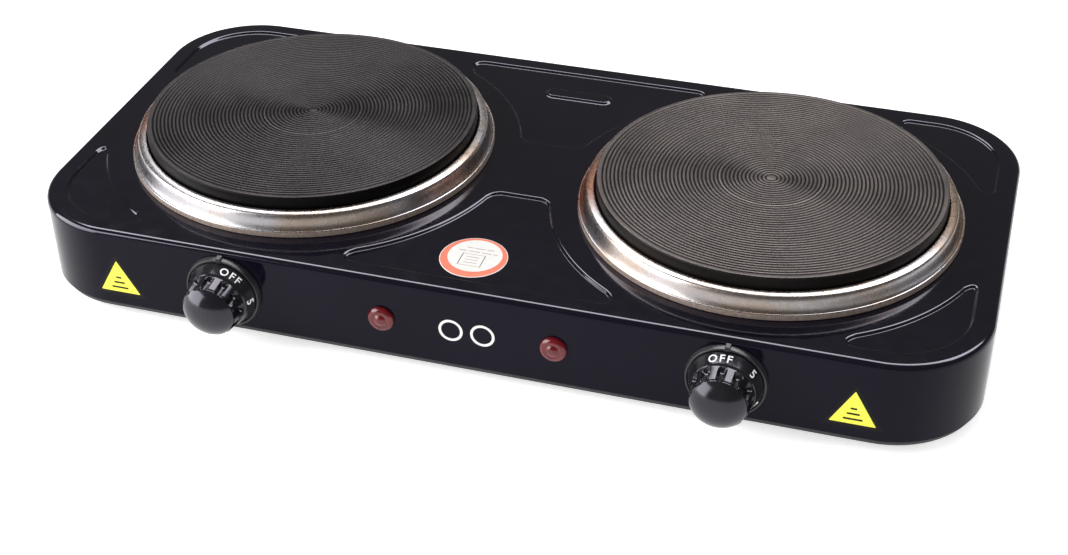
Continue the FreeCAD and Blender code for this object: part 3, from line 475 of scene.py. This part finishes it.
def printed(name, colour, roughness=0.3, gloss=0.5):
    """A printed or lacquered film: even colour with the slight mottle and relief of ink."""
    made = Finish(name, colour, roughness, Specular_IOR_Level=gloss)
    made.paint(made.ramp(made.noise(3, detail=6), (0.3, tuple(0.9 * c for c in colour)), (0.7, colour)))
    ink = made.noise(0.4)
    made.sheen_of(made.span(ink, roughness - 0.06, roughness + 0.08))
    made.relief(ink, 0.006, 0.4)
    return made.material


def sleeve(name, colour, pitch=1.1):
    """A braided sleeve over a lead: two slanting sets of strands crossing each other."""
    made = Finish(name, colour, 0.75)
    strands = []
    for slant in (1, -1):
        wave = made.nodes.new("ShaderNodeTexWave")
        wave.bands_direction = "DIAGONAL"
        wave.inputs["Scale"].default_value = 0.31 / (pitch * MM)
        wave.inputs["Distortion"].default_value = 0.4
        made.link(made.mapped(scale=(slant, 1, 1)), wave.inputs["Vector"])
        strands.append(wave.outputs["Fac"])
    weave = made.combined("MAXIMUM", *strands)
    made.paint(made.ramp(weave, (0.3, tuple(0.45 * c for c in colour)), (0.8, colour)))
    made.sheen_of(made.span(made.noise(2), 0.65, 0.85))
    made.relief(weave, 0.12, 0.7)
    return made.material


def striped(name, base, stripe):
    """A smooth insulated lead with a second colour running along it in bands."""
    made = Finish(name, base, 0.4)
    wave = made.nodes.new("ShaderNodeTexWave")
    wave.bands_direction = "DIAGONAL"
    wave.inputs["Scale"].default_value = 90
    made.link(made.place, wave.inputs["Vector"])
    band = made.span(wave.outputs["Fac"], 0.0, 1.0, 0.45, 0.55)
    made.paint(made.blend(band, base, stripe))
    grain = made.noise(1.5, detail=6)
    made.sheen_of(made.span(grain, 0.34, 0.5))
    made.relief(grain, 0.01, 0.4)
    return made.material


def brushed(name, light, dark, roughness, along=(1, 12, 12)):
    """Sheet metal with rolling marks that run one way."""
    made = Finish(name, light, roughness, 1.0)
    marks = made.noise(6, detail=6, place=made.mapped(scale=along))
    made.paint(made.ramp(marks, (0.3, dark), (0.7, light)))
    made.sheen_of(made.span(marks, roughness - 0.1, roughness + 0.12))
    made.relief(marks, 0.01, 0.5)
    made.relief(made.noise(20), 0.03, 0.3)
    return made.material


def glass():
    made = Finish("neon_glass", (0.92, 0.86, 0.8), 0.06, Transmission_Weight=0.9, IOR=1.47)
    drawn = made.noise(4, place=made.mapped(scale=(3, 0.3, 3)))
    made.paint(made.ramp(drawn, (0.3, (0.85, 0.78, 0.72)), (0.7, (0.95, 0.9, 0.85))))
    made.sheen_of(made.span(drawn, 0.03, 0.1))
    made.relief(drawn, 0.01, 0.3)
    return made.material


FINISHES = {
    "black_enamel": black_enamel(),
    "pan_paint": mottled("pan_paint", (0.022, 0.021, 0.024), (0.013, 0.012, 0.014), 0.36, 9).material,
    "polished_steel": polished_steel(),
    "knob_black": gloss_black(),
    "bezel_black": satin_black(),
    "lamp_red": lamp_red(),
    "neon_glass": glass(),
    "foot_rubber": mottled("foot_rubber", (0.03, 0.029, 0.03), (0.016, 0.016, 0.017), 0.75, 5,
                           relief=0.06).material,
    "coil_metal": mottled("coil_metal", (0.42, 0.36, 0.3), (0.16, 0.13, 0.12), 0.5, 4, 1.0,
                          relief=0.04).material,
    "coil_cement": mottled("coil_cement", (0.66, 0.6, 0.5), (0.42, 0.37, 0.3), 0.85, 6,
                           relief=0.25, spread=0.08).material,
    "tin_plate": brushed("tin_plate", (0.64, 0.64, 0.65), (0.46, 0.46, 0.48), 0.34),
    "zinc_steel": mottled("zinc_steel", (0.66, 0.67, 0.69), (0.44, 0.46, 0.5), 0.32, 3, 1.0).material,
    "spring_steel": mottled("spring_steel", (0.3, 0.31, 0.36), (0.14, 0.15, 0.2), 0.3, 4, 1.0).material,
    "steatite": mottled("steatite", (0.8, 0.76, 0.68), (0.66, 0.61, 0.53), 0.7, 5, relief=0.08).material,
    "contact_brass": brushed("contact_brass", (0.78, 0.58, 0.26), (0.52, 0.36, 0.15), 0.32),
    "gland_black": mottled("gland_black", (0.024, 0.023, 0.024), (0.012, 0.012, 0.013), 0.48, 4,
                           relief=0.04).material,
    "strip_nylon": mottled("strip_nylon", (0.78, 0.77, 0.72), (0.62, 0.6, 0.54), 0.5, 7).material,
    "lead_brown": sleeve("lead_brown", (0.24, 0.11, 0.05)),
    "lead_white": sleeve("lead_white", (0.78, 0.76, 0.7)),
    "lead_blue": sleeve("lead_blue", (0.09, 0.19, 0.42)),
    "lead_earth": striped("lead_earth", (0.16, 0.42, 0.06), (0.78, 0.68, 0.05)),
    "emblem_print": printed("emblem_print", (0.86, 0.86, 0.84)),
}
# One iron in two copies: the left plate's colours are darkened as painted shade and the right plate's
# lightened as painted light, for how the light falls on each.
SHADED_AND_LIT_IRON = {"left": cast_iron("left", (0.038, 0.033, 0.034), (0.012, 0.01, 0.011)),
        "right": cast_iron("right", (0.085, 0.073, 0.07), (0.036, 0.03, 0.029))}
# a rough beige finish for each ring's lower band, from 3 mm above the top downwards
BEIGE_LOWER_BAND = mottled("beige_lower_band", (0.46, 0.37, 0.32), (0.26, 0.2, 0.17), 0.6, 1.5, 0.3, relief=0.05).material
WHITE_PRINT = printed("white_print", (0.9, 0.9, 0.89), 0.4)
FILM_BLACK = printed("film_black", (0.006, 0.005, 0.006), 0.2, 0.12)
FILM_YELLOW = printed("film_yellow", (0.92, 0.9, 0.06), 0.32)
FILM_ORANGE = printed("film_orange", (0.86, 0.16, 0.07), 0.32)
FILM_WHITE = printed("film_white", (0.84, 0.83, 0.8), 0.34)
FILM_GREY = printed("film_grey", (0.46, 0.3, 0.29), 0.4)


# ---------------------------------------------------------------- the enamelled housing
def smoothed_corners(bm, reach, rounds):
    """Round an outline's sharp corners by easing the points near them."""
    long_ones = [e for e in bm.edges if e.calc_length() > 1.6]
    for edge in long_ones:
        bmesh.ops.subdivide_edges(bm, edges=[edge], cuts=max(1, round(edge.calc_length() / 1.2) - 1))
    sharp = [v.co.copy() for v in bm.verts if is_corner(v)]
    near = [v for v in bm.verts if any((v.co - c).length < reach for c in sharp)]
    for _ in range(rounds):
        bmesh.ops.smooth_vert(bm, verts=near, factor=0.5, use_axis_x=True, use_axis_y=True)


def is_corner(vert):
    """True where an outline turns by more than 25 degrees."""
    ends = [edge.other_vert(vert).co - vert.co for edge in vert.link_edges]
    return len(ends) == 2 and ends[0].angle(-ends[1]) > math.radians(25)


def panel_outlines():
    """The six pressed panels, as flat faces at the height of the top."""
    slab = block(BODY_SIZE.x - 2 * PANEL_MARGIN, BODY_SIZE.y - 2 * PANEL_MARGIN, 10)
    round_edges(slab, uprights(slab), CORNER - PANEL_MARGIN, 24)
    move(slab, (BODY.x, BODY.y, 0))
    near, far = FRONT_GAP
    cutters = []
    for side, sign in SIDES:
        disc = rod(RING_LIP + RING_GAP, 30, 256)
        move(disc, PLATES[side] + Vector((0, 0, -10)))
        end_gap = block(120, END_GAP, 30)
        move(end_gap, (sign * BODY_SIZE.x / 2, BODY.y, -10))
        front_gap = block(far - near, 400, 30)
        move(front_gap, (sign * (near + far) / 2, BODY.y, -10))
        cutters += [disc, end_gap, front_gap]
    middle_gap = block(100, MIDDLE_GAP, 30)
    move(middle_gap, (0, BODY.y, -10))
    bm = carved(slab, *cutters, middle_gap)
    bmesh.ops.dissolve_faces(bm, faces=[f for f in bm.faces if f.normal.z > 0.9])
    bm.normal_update()
    bmesh.ops.delete(bm, geom=[f for f in bm.faces if f.normal.z < 0.9], context="FACES")
    smoothed_corners(bm, 6, 40)
    move(bm, (0, 0, BODY_TOP - 10))
    return bm


def pressed(bm, face, depth, width, steps=8):
    """Step a face down, or up for a depth below zero, over a gentle shoulder and a tighter foot."""
    bm.normal_update()
    done = 0
    for i in range(1, steps + 1):
        level = depth * (1 - math.cos(math.pi * (i / steps) ** 1.35)) / 2
        bmesh.ops.inset_region(bm, faces=[face], thickness=width / steps, depth=done - level,
                               use_even_offset=True, use_boundary=True)
        done = level
    return face


def filled(bm, edges):
    """Close the flat room between outlines with faces that look up."""
    made = bmesh.ops.triangle_fill(bm, use_beauty=True, edges=edges, normal=(0, 0, 1))["geom"]
    return [g for g in made if isinstance(g, bmesh.types.BMFace)]


def raised_island(bm, floor):
    """A stadium pressed back up out of the rear middle panel."""
    height = floor.calc_center_median().z
    pad = plain_face(arc((ISLAND_HALF, 0), ISLAND_ROUND, -90, 90, 16)
                     + arc((-ISLAND_HALF, 0), ISLAND_ROUND, 90, 270, 16))
    move(pad, (0, BODY.y + ISLAND_BACK, height))
    outline = list(floor.edges)
    bmesh.ops.delete(bm, geom=[floor], context="FACES_ONLY")
    crown = added(bm, pad)[0]
    filled(bm, outline + list(crown.edges))
    pressed(bm, crown, -PANEL_DEPTH + 0.1, ISLAND_SLOPE)


def housing():
    """The pressed and enamelled top with its walls, panels, plate openings and holes."""
    bm = block(BODY_SIZE.x, BODY_SIZE.y, BODY_TOP - low("top_shell").z)
    round_edges(bm, uprights(bm), CORNER, 24)
    top = max(bm.faces, key=lambda f: f.calc_center_median().z)
    round_edges(bm, top.edges, EDGE_ROUND, 6)
    move(bm, (BODY.x, BODY.y, low("top_shell").z))
    flat = [f for f in bm.faces if abs(f.normal.z) > 0.999]
    rim = list(max(flat, key=lambda f: f.calc_center_median().z).edges)
    bmesh.ops.delete(bm, geom=flat, context="FACES_ONLY")
    for side, _ in SIDES:
        ring = bmesh.ops.create_circle(bm, segments=128, radius=OPENING, matrix=Matrix.Translation(
            PLATES[side] + Vector((0, 0, BODY_TOP))))["verts"]
        rim += {e for v in ring for e in v.link_edges}
    sunk = added(bm, panel_outlines())
    rim += {e for f in sunk for e in f.edges}
    filled(bm, rim)
    for face in sunk:
        pressed(bm, face, PANEL_DEPTH, PANEL_SLOPE)
    raised_island(bm, max(sunk, key=lambda f: f.calc_center_median().y - abs(f.calc_center_median().x)))
    bmesh.ops.remove_doubles(bm, verts=bm.verts, dist=0.001)
    bmesh.ops.recalc_face_normals(bm, faces=bm.faces)
    bm = walled(bm, SHELL_WALL)
    holes = []
    for _, sign in SIDES:
        for x, radius in ((KNOB_X, BUSHING_HOLE), (LAMP_X, LAMP_HOLE)):
            hole = rod(radius, 6, 48)
            move(hole, (0, 0, -3))
            on_front(hole, sign * x)
            holes.append(hole)
    entry = rod(GLAND_HOLE, 6, 48)
    turn(entry, 90, "X")
    move(entry, (0, high("top_shell").y + 3, CONTROL_HEIGHT))
    piece("enamel_top", carved(bm, *holes, entry), "housing", [FINISHES["black_enamel"]],
          ["top_shell"], crease=40)


# ---------------------------------------------------------------- plates and their rings
def ridge_points():
    """The turned top of a plate: rounded ridges and narrow grooves from the centre to the rim."""
    pitch, first, count = 2.1, 2.0, 43
    points = [(0, PLATE_TOP)]
    for i in range(count):
        r = first + i * pitch
        if i:
            points.append((r - 0.62, PLATE_TOP - 0.16))
        points.append((r, PLATE_TOP))
        if i < count - 1:
            points += [(r + 0.62, PLATE_TOP - 0.16), (r + pitch / 2, PLATE_TOP - 0.45)]
    return points


def hotplate(side):
    """A cast plate: ridged top, skirt, and ribs underneath with channels for the coils."""
    r, web = PLATE_RADIUS, PLATE_TOP - 6
    rib = PLATE_TOP - 13.5
    profile = ridge_points() + arc((r - 1.0, PLATE_TOP - 1.0), 1.0, 80, 0, 4)
    profile += [(r, SEAT + 0.6), (r - 0.5, SEAT), (r - 5, SEAT), (r - 5, web)]
    for inner in (58.0, 34.0):
        profile += [(inner + 2.5, web), (inner + 2.5, rib), (inner, rib), (inner, web)]
    boss, bore, cover = 12.0, 3.1, PLATE_TOP - 4.5
    profile += [(boss, web), (boss, rib), (bore, rib), (bore, cover), (0, cover)]
    bm = spun(profile, 160, closed=False)
    move(bm, PLATES[side])
    piece("iron_plate_" + side, bm, "housing", [SHADED_AND_LIT_IRON[side]], ["hotplate_" + side], crease=50)


def ring_profile():
    """The trim ring from its seat up the inner wall, over the crest and down the cove to the lip."""
    wall, crest = PLATE_RADIUS + 0.6, BODY_TOP + 12.4
    seat, outer = 80.0, RING_LIP
    over = arc((wall + 0.9, crest - 0.9), 0.9, 180, 90, 6)
    over += arc((wall + 0.9, crest - 8.5), 8.5, 90, 66, 8)[1:]
    start = over[-1]
    cove = sweep(start, (start[0] + 1.6, start[1] - 0.8), (outer - 2.7, BODY_TOP + 4.8),
                 (outer - 0.9, BODY_TOP + 3.2), 22)
    bead = arc((outer - 0.55, BODY_TOP + 3.2), 0.55, 120, 0, 5)
    outside = over + cove[1:] + bead + [(outer, BODY_TOP + 0.5), (outer - 0.3, BODY_TOP + 0.2)]
    gauge = 0.6
    inside = [(outer - gauge, BODY_TOP + 0.3), (outer - gauge, BODY_TOP + 3.6)]
    inside += [(p[0] - 0.35, p[1] - 0.65) for p in reversed(cove[2:-1])]
    inside += [(wall + 1.6, crest - 0.7), (wall + gauge, crest - 1.6), (wall + gauge, BODY_TOP)]
    inside.append((seat, BODY_TOP))
    return [(seat, SEAT), (wall, SEAT)] + outside + inside


def trim_ring(side):
    """The bright pressed ring round a plate."""
    bm = spun(ring_profile(), 224)
    for face in bm.faces:
        # faces lower than 3 mm above the top take the rough beige finish
        face.material_index = int(face.calc_center_median().z < BODY_TOP + 3.0)
    move(bm, PLATES[side])
    piece("bright_ring_" + side, bm, "housing", [FINISHES["polished_steel"], BEIGE_LOWER_BAND],
          ["trim_ring_" + side], crease=50)


# ---------------------------------------------------------------- knobs and their surrounds
SKIRT, DOME, GRIP, GRIP_DEPTH, DOME_RISE, SKIRT_DEPTH = 18.9, 14.2, 14.8, 21.5, 5.5, 10.0
FLUTES, FLUTE_RADIUS = 12, 2.4
FLUTE_AXIS = GRIP + 0.35 * FLUTE_RADIUS


def knob_profile():
    """The knob's outside from the apex of its dome to its back, then its hollow inside."""
    foot = math.radians(28)
    dome = []
    for i in range(13):
        a = math.pi / 2 - (math.pi / 2 - foot) * i / 12
        share = (math.sin(a) - math.sin(foot)) / (1 - math.sin(foot))
        dome.append((DOME * math.cos(a) / math.cos(foot), GRIP_DEPTH - 1.2 + (DOME_RISE + 1.2) * share))
    grip = [(DOME, GRIP_DEPTH - 1.9), (GRIP - 0.1, GRIP_DEPTH - 1.9)]
    grip += [(GRIP + 1.1 * (17 - i) / 17, SKIRT_DEPTH + 0.9 + 0.5 * i) for i in range(17, -1, -1)]
    cone = [(GRIP + 1.3, SKIRT_DEPTH + 0.2)]
    cone += sweep((GRIP + 1.5, SKIRT_DEPTH), (GRIP + 2.2, 7.8), (SKIRT - 1.0, 5.4), (SKIRT - 0.15, 3.4), 8)
    back = [(SKIRT, 3.0), (SKIRT, 2.4), (SKIRT - 0.3, 2.1)]
    room, hub, bore = 10.5, 6.0, 3.05
    hollow = [(SKIRT - 2.2, 2.1), (room, 7.8), (room, 19.3), (hub, 19.3), (hub, 4.1), (bore, 4.1)]
    hollow += [(bore, 15.6), (0, 15.6)]
    return dome + grip + cone + back + hollow


def scoop(bm):
    """Draw the grip's flutes into its side: round slots that end in a spoon above the dial."""
    start, end = SKIRT_DEPTH + 0.9, SKIRT_DEPTH + 3.4
    for vert in bm.verts:
        r, h = math.hypot(vert.co.x, vert.co.y), vert.co.z
        if r < 11 or not start < h < GRIP_DEPTH - 1.8:
            continue
        pitch = FULL_TURN / FLUTES
        off = (math.atan2(vert.co.y, vert.co.x) + pitch / 2) % pitch - pitch / 2
        reach = FLUTE_RADIUS * math.sqrt(max(0.0, 1 - max(0.0, (end - h) / (end - start)) ** 2))
        across = FLUTE_AXIS * math.sin(off)
        if abs(across) < reach:
            cut = FLUTE_AXIS * math.cos(off) - math.sqrt(reach ** 2 - across ** 2)
            if cut < r:
                vert.co.xy *= cut / r


def knob(side, sign, clockwise):
    """A hollow dial knob with a fluted grip and a domed cap."""
    bm = spun(knob_profile(), 360, closed=False)
    scoop(bm)
    on_front(bm, sign * KNOB_X, clockwise)
    piece("dial_knob_" + side, bm, side + "_control", [FINISHES["knob_black"]],
          ["knob_" + side], crease=50)


def lettered(text, size, weight):
    """Flat lettering centred on x with its foot at zero, in millimetres."""
    font = bpy.data.curves.new("lettering", "FONT")
    font.body = text
    font.size = size
    font.align_x = "CENTER"
    font.offset = weight
    font.resolution_u = 4
    font.space_character = 1.3
    made = bpy.data.objects.new("lettering", font)
    bpy.context.collection.objects.link(made)
    bm = settled(made)
    bpy.data.curves.remove(font)
    bmesh.ops.remove_doubles(bm, verts=bm.verts, dist=0.001)
    return bm


def dial_marks(side, sign, clockwise):
    """The white figures printed on the knob's cone, tops outward."""
    inner, outer = (GRIP + 1.5, 9.4), (SKIRT - 0.25, 3.6)
    slope = math.hypot(outer[0] - inner[0], outer[1] - inner[1])
    shapes = []
    for text, place in (("OFF", 0), ("5", 60), ("4", 120), ("3", 160), ("2", 200), ("1", 240)):
        bm = lettered(text, 6.3 if place else 5.8, 0.1)
        bmesh.ops.solidify(bm, geom=bm.faces, thickness=0.05)
        for vert in bm.verts:
            along = (vert.co.y + 1.2) / slope
            raise_by = 0.2 + (vert.co.z if abs(vert.co.z) > 0.01 else 0)
            r = inner[0] + along * (outer[0] - inner[0]) + 0.88 * raise_by
            h = inner[1] + along * (outer[1] - inner[1]) + 0.48 * raise_by
            angle = math.radians(place) + vert.co.x / 17.2
            vert.co = (r * math.sin(angle), r * math.cos(angle), h)
        shapes.append(bm)
    bm = joined(*shapes)
    bmesh.ops.recalc_face_normals(bm, faces=bm.faces)
    on_front(bm, sign * KNOB_X, clockwise)
    piece("dial_marks_" + side, bm, side + "_control", [WHITE_PRINT])


def surround(side, sign):
    """The fixed ring behind a knob with a raised pointer at its top."""
    rim, inner = SKIRT + 2.1, SKIRT + 0.5
    profile = [(BUSHING_HOLE, 0), (rim, 0), (rim - 0.5, 2.6), (rim - 0.8, 3.0), (inner + 0.2, 3.0)]
    profile += [(inner, 2.8), (inner, 1.6), (BUSHING_HOLE, 1.6)]
    bm = spun(profile, 160)
    pointer = block(2.8, 3.0, 3.4)
    round_edges(pointer, uprights(pointer), 0.4, 3)
    round_edges(pointer, max(pointer.faces, key=lambda f: f.calc_center_median().z).edges, 0.3, 2)
    move(pointer, (0, rim - 0.3, 0))
    bm = joined(bm, pointer)
    on_front(bm, sign * KNOB_X)
    piece("dial_surround_" + side, bm, "housing", [FINISHES["bezel_black"]],
          ["bezel_" + side], crease=30)


# ---------------------------------------------------------------- pilot lamps
def lamp(side, sign):
    """A red lens: a rounded flange, a step, and a dome over a hollow barrel."""
    flange, barrel, bore, length = 7.1, 5.4, 4.5, 16.0
    profile = [(0, 4.2)] + arc((0, -0.9), 5.1, 82, 52, 5)
    profile += [(3.4, 2.75), (3.9, 2.62), (4.5, 2.9)]
    profile += sweep((4.5, 2.9), (5.6, 2.8), (6.9, 2.2), (flange, 1.0), 6)[1:]
    profile += [(flange, 0), (barrel, 0), (barrel, -length), (bore, -length), (bore, 0), (2.6, 1.5), (0, 1.6)]
    bm = spun(profile, 72, closed=False)
    on_front(bm, sign * LAMP_X)
    piece("lamp_cap_" + side, bm, "housing", [FINISHES["lamp_red"]], ["lamp_lens_" + side],
          crease=50)


# ---------------------------------------------------------------- labels
def plain_face(points):
    """One flat face through a few points."""
    bm = bmesh.new()
    bm.faces.new([bm.verts.new((*p, 0)) for p in points])
    return bm


def plain_bar(length, width, x, y, lift, index):
    """A printed bar with rounded ends, its face at a height above the surface."""
    bm = plain_face([(-length / 2, -width / 2), (length / 2, -width / 2), (length / 2, width / 2),
                     (-length / 2, width / 2)])
    bmesh.ops.bevel(bm, geom=list(bm.verts), offset=width * 0.35, offset_type="OFFSET", segments=3,
                    profile=0.5, affect="VERTICES", material=-1)
    move(bm, (x, y, 0))
    return slab_of(bm, lift + 0.02, index)


def slab_of(bm, lift, index):
    """A flat face thickened down to the surface it lies on."""
    base = bm.faces[:]
    top = bmesh.ops.extrude_face_region(bm, geom=base)["geom"]
    bmesh.ops.translate(bm, vec=(0, 0, lift), verts=[g for g in top if isinstance(g, bmesh.types.BMVert)])
    bmesh.ops.recalc_face_normals(bm, faces=bm.faces)
    return painted(bm, index)


def triangle(side_length, foot, lift, index):
    """A film triangle with slightly rounded corners."""
    half = side_length / 2
    bm = plain_face([(-half, foot), (half, foot), (0, foot + side_length * math.sqrt(0.75))])
    bmesh.ops.bevel(bm, geom=list(bm.verts), offset=0.5, offset_type="OFFSET", segments=3,
                    profile=0.5, affect="VERTICES", material=-1)
    return slab_of(bm, lift, index)


def on_wall(point):
    """A point of the flat label laid on the front wall and round its corner."""
    along, out = abs(point.x), point.y
    straight = BODY_SIZE.x / 2 - CORNER
    if along <= straight:
        return Vector((point.x, FRONT - point.z, out))
    angle = (along - straight) / CORNER
    reach = CORNER + point.z
    return Vector((math.copysign(straight + reach * math.sin(angle), point.x),
                   FRONT + CORNER - reach * math.cos(angle), out))


def hot_label():
    """Black film triangles with a yellow field and plain bars, one at each end of the front wall."""
    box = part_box("hot_labels")
    side_length, centre, base = 30.0, 196.5, box[0][2] / MM
    shapes = []
    for _, sign in SIDES:
        film = triangle(side_length, 0.0, 0.05, 0)
        field = triangle(side_length - 7.0, 2.1, 0.08, 1)
        bars = [plain_bar(width, 1.1, 0, y, 0.08, 0) for width, y in ((9.6, 5.0), (6.4, 8.2), (3.2, 11.4))]
        label = joined(film, triangle(side_length - 5.2, 1.5, 0.065, 0), field, *bars)
        move(label, (sign * centre, base, 0.04))
        for i in range(15):
            cut = sign * centre + (i - 7) * 2.0
            bmesh.ops.bisect_plane(label, geom=label.verts[:] + label.edges[:] + label.faces[:],
                                   plane_co=(cut, 0, 0), plane_no=(1, 0, 0))
        for vert in label.verts:
            vert.co = on_wall(vert.co)
        shapes.append(label)
    bm = joined(*shapes)
    piece("hot_labels_printed", bm, "housing", [FILM_BLACK, FILM_YELLOW], ["hot_labels"])


def round_label():
    """A white disc set off-centre on an orange one, with plain bars and an empty frame."""
    spot, r = middle("round_label"), (high("round_label") - low("round_label")).x / 2
    base = low("round_label").z
    disc = spun([(0, 0), (r - 0.1, 0), (r - 0.1, 0.15), (0, 0.15)], 128, closed=False)
    rim = spun([(r - 0.4, 0), (r, 0), (r, 0.1), (r - 0.1, 0.16), (r - 0.4, 0.16)], 128)
    field = rod(0.8 * r, 0.17, 128)
    move(field, (0.2, 1.6, 0))
    shapes = [painted(disc, 0), painted(rim, 1), painted(field, 1)]
    for width, x, y in ((3.2, -4.4, 8.1), (5.6, 0.9, 8.1), (3.6, 6.6, 8.1), (4.4, -7.6, 5.0),
                        (6.2, -1.4, 5.0), (5.2, 5.4, 5.0), (2.4, 10.2, 5.0)):
        shapes.append(plain_bar(width, 0.6, x, y, 0.18, 2))
    for length, width, x, y in ((12, 0.35, -0.4, 2.6), (12, 0.35, -0.4, -7.6), (0.35, 10.2, -6.4, -2.5),
                                (0.35, 10.2, 5.6, -2.5), (7, 0.5, -0.4, 0.0), (7, 0.5, -0.4, -2.5),
                                (7, 0.5, -0.4, -5.0)):
        shapes.append(plain_bar(length, width, x, y, 0.18, 2))
    bm = joined(*shapes)
    move(bm, (spot.x, spot.y, base))
    piece("round_label_printed", bm, "housing", [FILM_ORANGE, FILM_WHITE, FILM_GREY],
          ["round_label"])


# ---------------------------------------------------------------- the frame's own pieces
def dress_frame():
    """Give every carried-over CAD piece the finish of its slot."""
    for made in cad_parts.values():
        for slot in made.material_slots:
            finish = FINISHES.get(slot.material.name)
            if finish is not None:
                slot.material = finish


# ---------------------------------------------------------------- the studio
def look_along(made, direction, roll=0.0):
    turned = Vector(direction).to_track_quat("-Z", "Y") @ Quaternion((0, 0, 1), math.radians(roll))
    made.rotation_euler = turned.to_euler()


def camera():
    """The camera, a little to the right of the front and well above it."""
    lens = bpy.data.cameras.new("camera")
    lens.lens = 59.44
    lens.sensor_width = 36
    lens.clip_start = 0.01
    made = bpy.data.objects.new("camera", lens)
    bpy.context.collection.objects.link(made)
    made.location = (0.246249, -0.780685, 0.568685)
    azimuth, elevation = math.radians(17.395), math.radians(35.226)
    look_along(made, (-math.sin(azimuth) * math.cos(elevation), math.cos(azimuth) * math.cos(elevation),
                      -math.sin(elevation)), roll=-0.707)
    bpy.context.scene.camera = made


def softbox(name, place, aim, size, power, tint=(1, 1, 1)):
    """A rectangular area light that looks at a spot."""
    light = bpy.data.lights.new(name, "AREA")
    light.shape = "RECTANGLE"
    light.size, light.size_y = size
    light.energy = power
    light.color = tint
    made = bpy.data.objects.new(name, light)
    bpy.context.collection.objects.link(made)
    made.location = place
    look_along(made, Vector(aim) - Vector(place))
    return made


def studio():
    """A lit pale table, an even light from above that shows in no reflection, and softboxes that do."""
    floor = block(24, 24, 0.002)
    move(floor, (0, 0, -0.002))
    ground = as_object("floor", floor)
    pale = Finish("floor_pale", (0.93, 0.93, 0.93), 0.9, Specular_IOR_Level=0.1, Emission_Strength=0.6,
                  Emission_Color=(1, 1, 1, 1))
    pale.paint(pale.ramp(pale.noise(400), (0.3, (0.92, 0.92, 0.92)), (0.7, (0.94, 0.94, 0.94))))
    ground.data.materials.append(pale.material)
    sun = bpy.data.lights.new("even_light", "SUN")
    sun.energy = 1.3
    sun.angle = math.radians(110)
    made = bpy.data.objects.new("even_light", sun)
    bpy.context.collection.objects.link(made)
    look_along(made, (0.1, 0.15, -1))
    made.visible_glossy = False
    for name, place, aim, size, power in (
            ("back_bank", (0.0, 0.775, 1.535), (0.0, 0, 0.05), (2.6, 0.9), 74),
            ("left_window", (-1.487, -0.824, 0.66), (0, 0, 0.1), (1.8, 1.3), 59)):
        softbox(name, place, aim, size, power).visible_diffuse = False
    softbox("left_fill", (-1.4, -0.7, 0.9), (-0.2, -0.1, 0), (1, 1), 22).visible_glossy = False
    world = bpy.data.worlds.new("studio")
    bpy.context.scene.world = world
    world.use_nodes = True
    nodes, links = world.node_tree.nodes, world.node_tree.links
    path = nodes.new("ShaderNodeLightPath")
    shown = nodes["Background"].outputs["Background"]
    nodes["Background"].inputs["Color"].default_value = (0.38, 0.38, 0.38, 1)
    for ray, tone in (("Is Glossy Ray", (0.175, 0.17, 0.16, 1)), ("Is Camera Ray", (1, 1, 1, 1))):
        seen = nodes.new("ShaderNodeBackground")
        seen.inputs["Color"].default_value = tone
        mix = nodes.new("ShaderNodeMixShader")
        links.new(path.outputs[ray], mix.inputs["Fac"])
        links.new(shown, mix.inputs[1])
        links.new(seen.outputs["Background"], mix.inputs[2])
        shown = mix.outputs["Shader"]
    links.new(shown, nodes["World Output"].inputs["Surface"])
    bpy.context.scene.view_settings.view_transform = "Standard"


# ---------------------------------------------------------------- putting it together
RESTS = {"left": 28.0, "right": 0.0}
PRINT_LEAD = {"left": 0.0, "right": -9.0}

housing()
for name, way in SIDES:
    hotplate(name)
    trim_ring(name)
    knob(name, way, RESTS[name])
    dial_marks(name, way, RESTS[name] + PRINT_LEAD[name])
    surround(name, way)
    lamp(name, way)
hot_label()
round_label()
dress_frame()
camera()
studio()
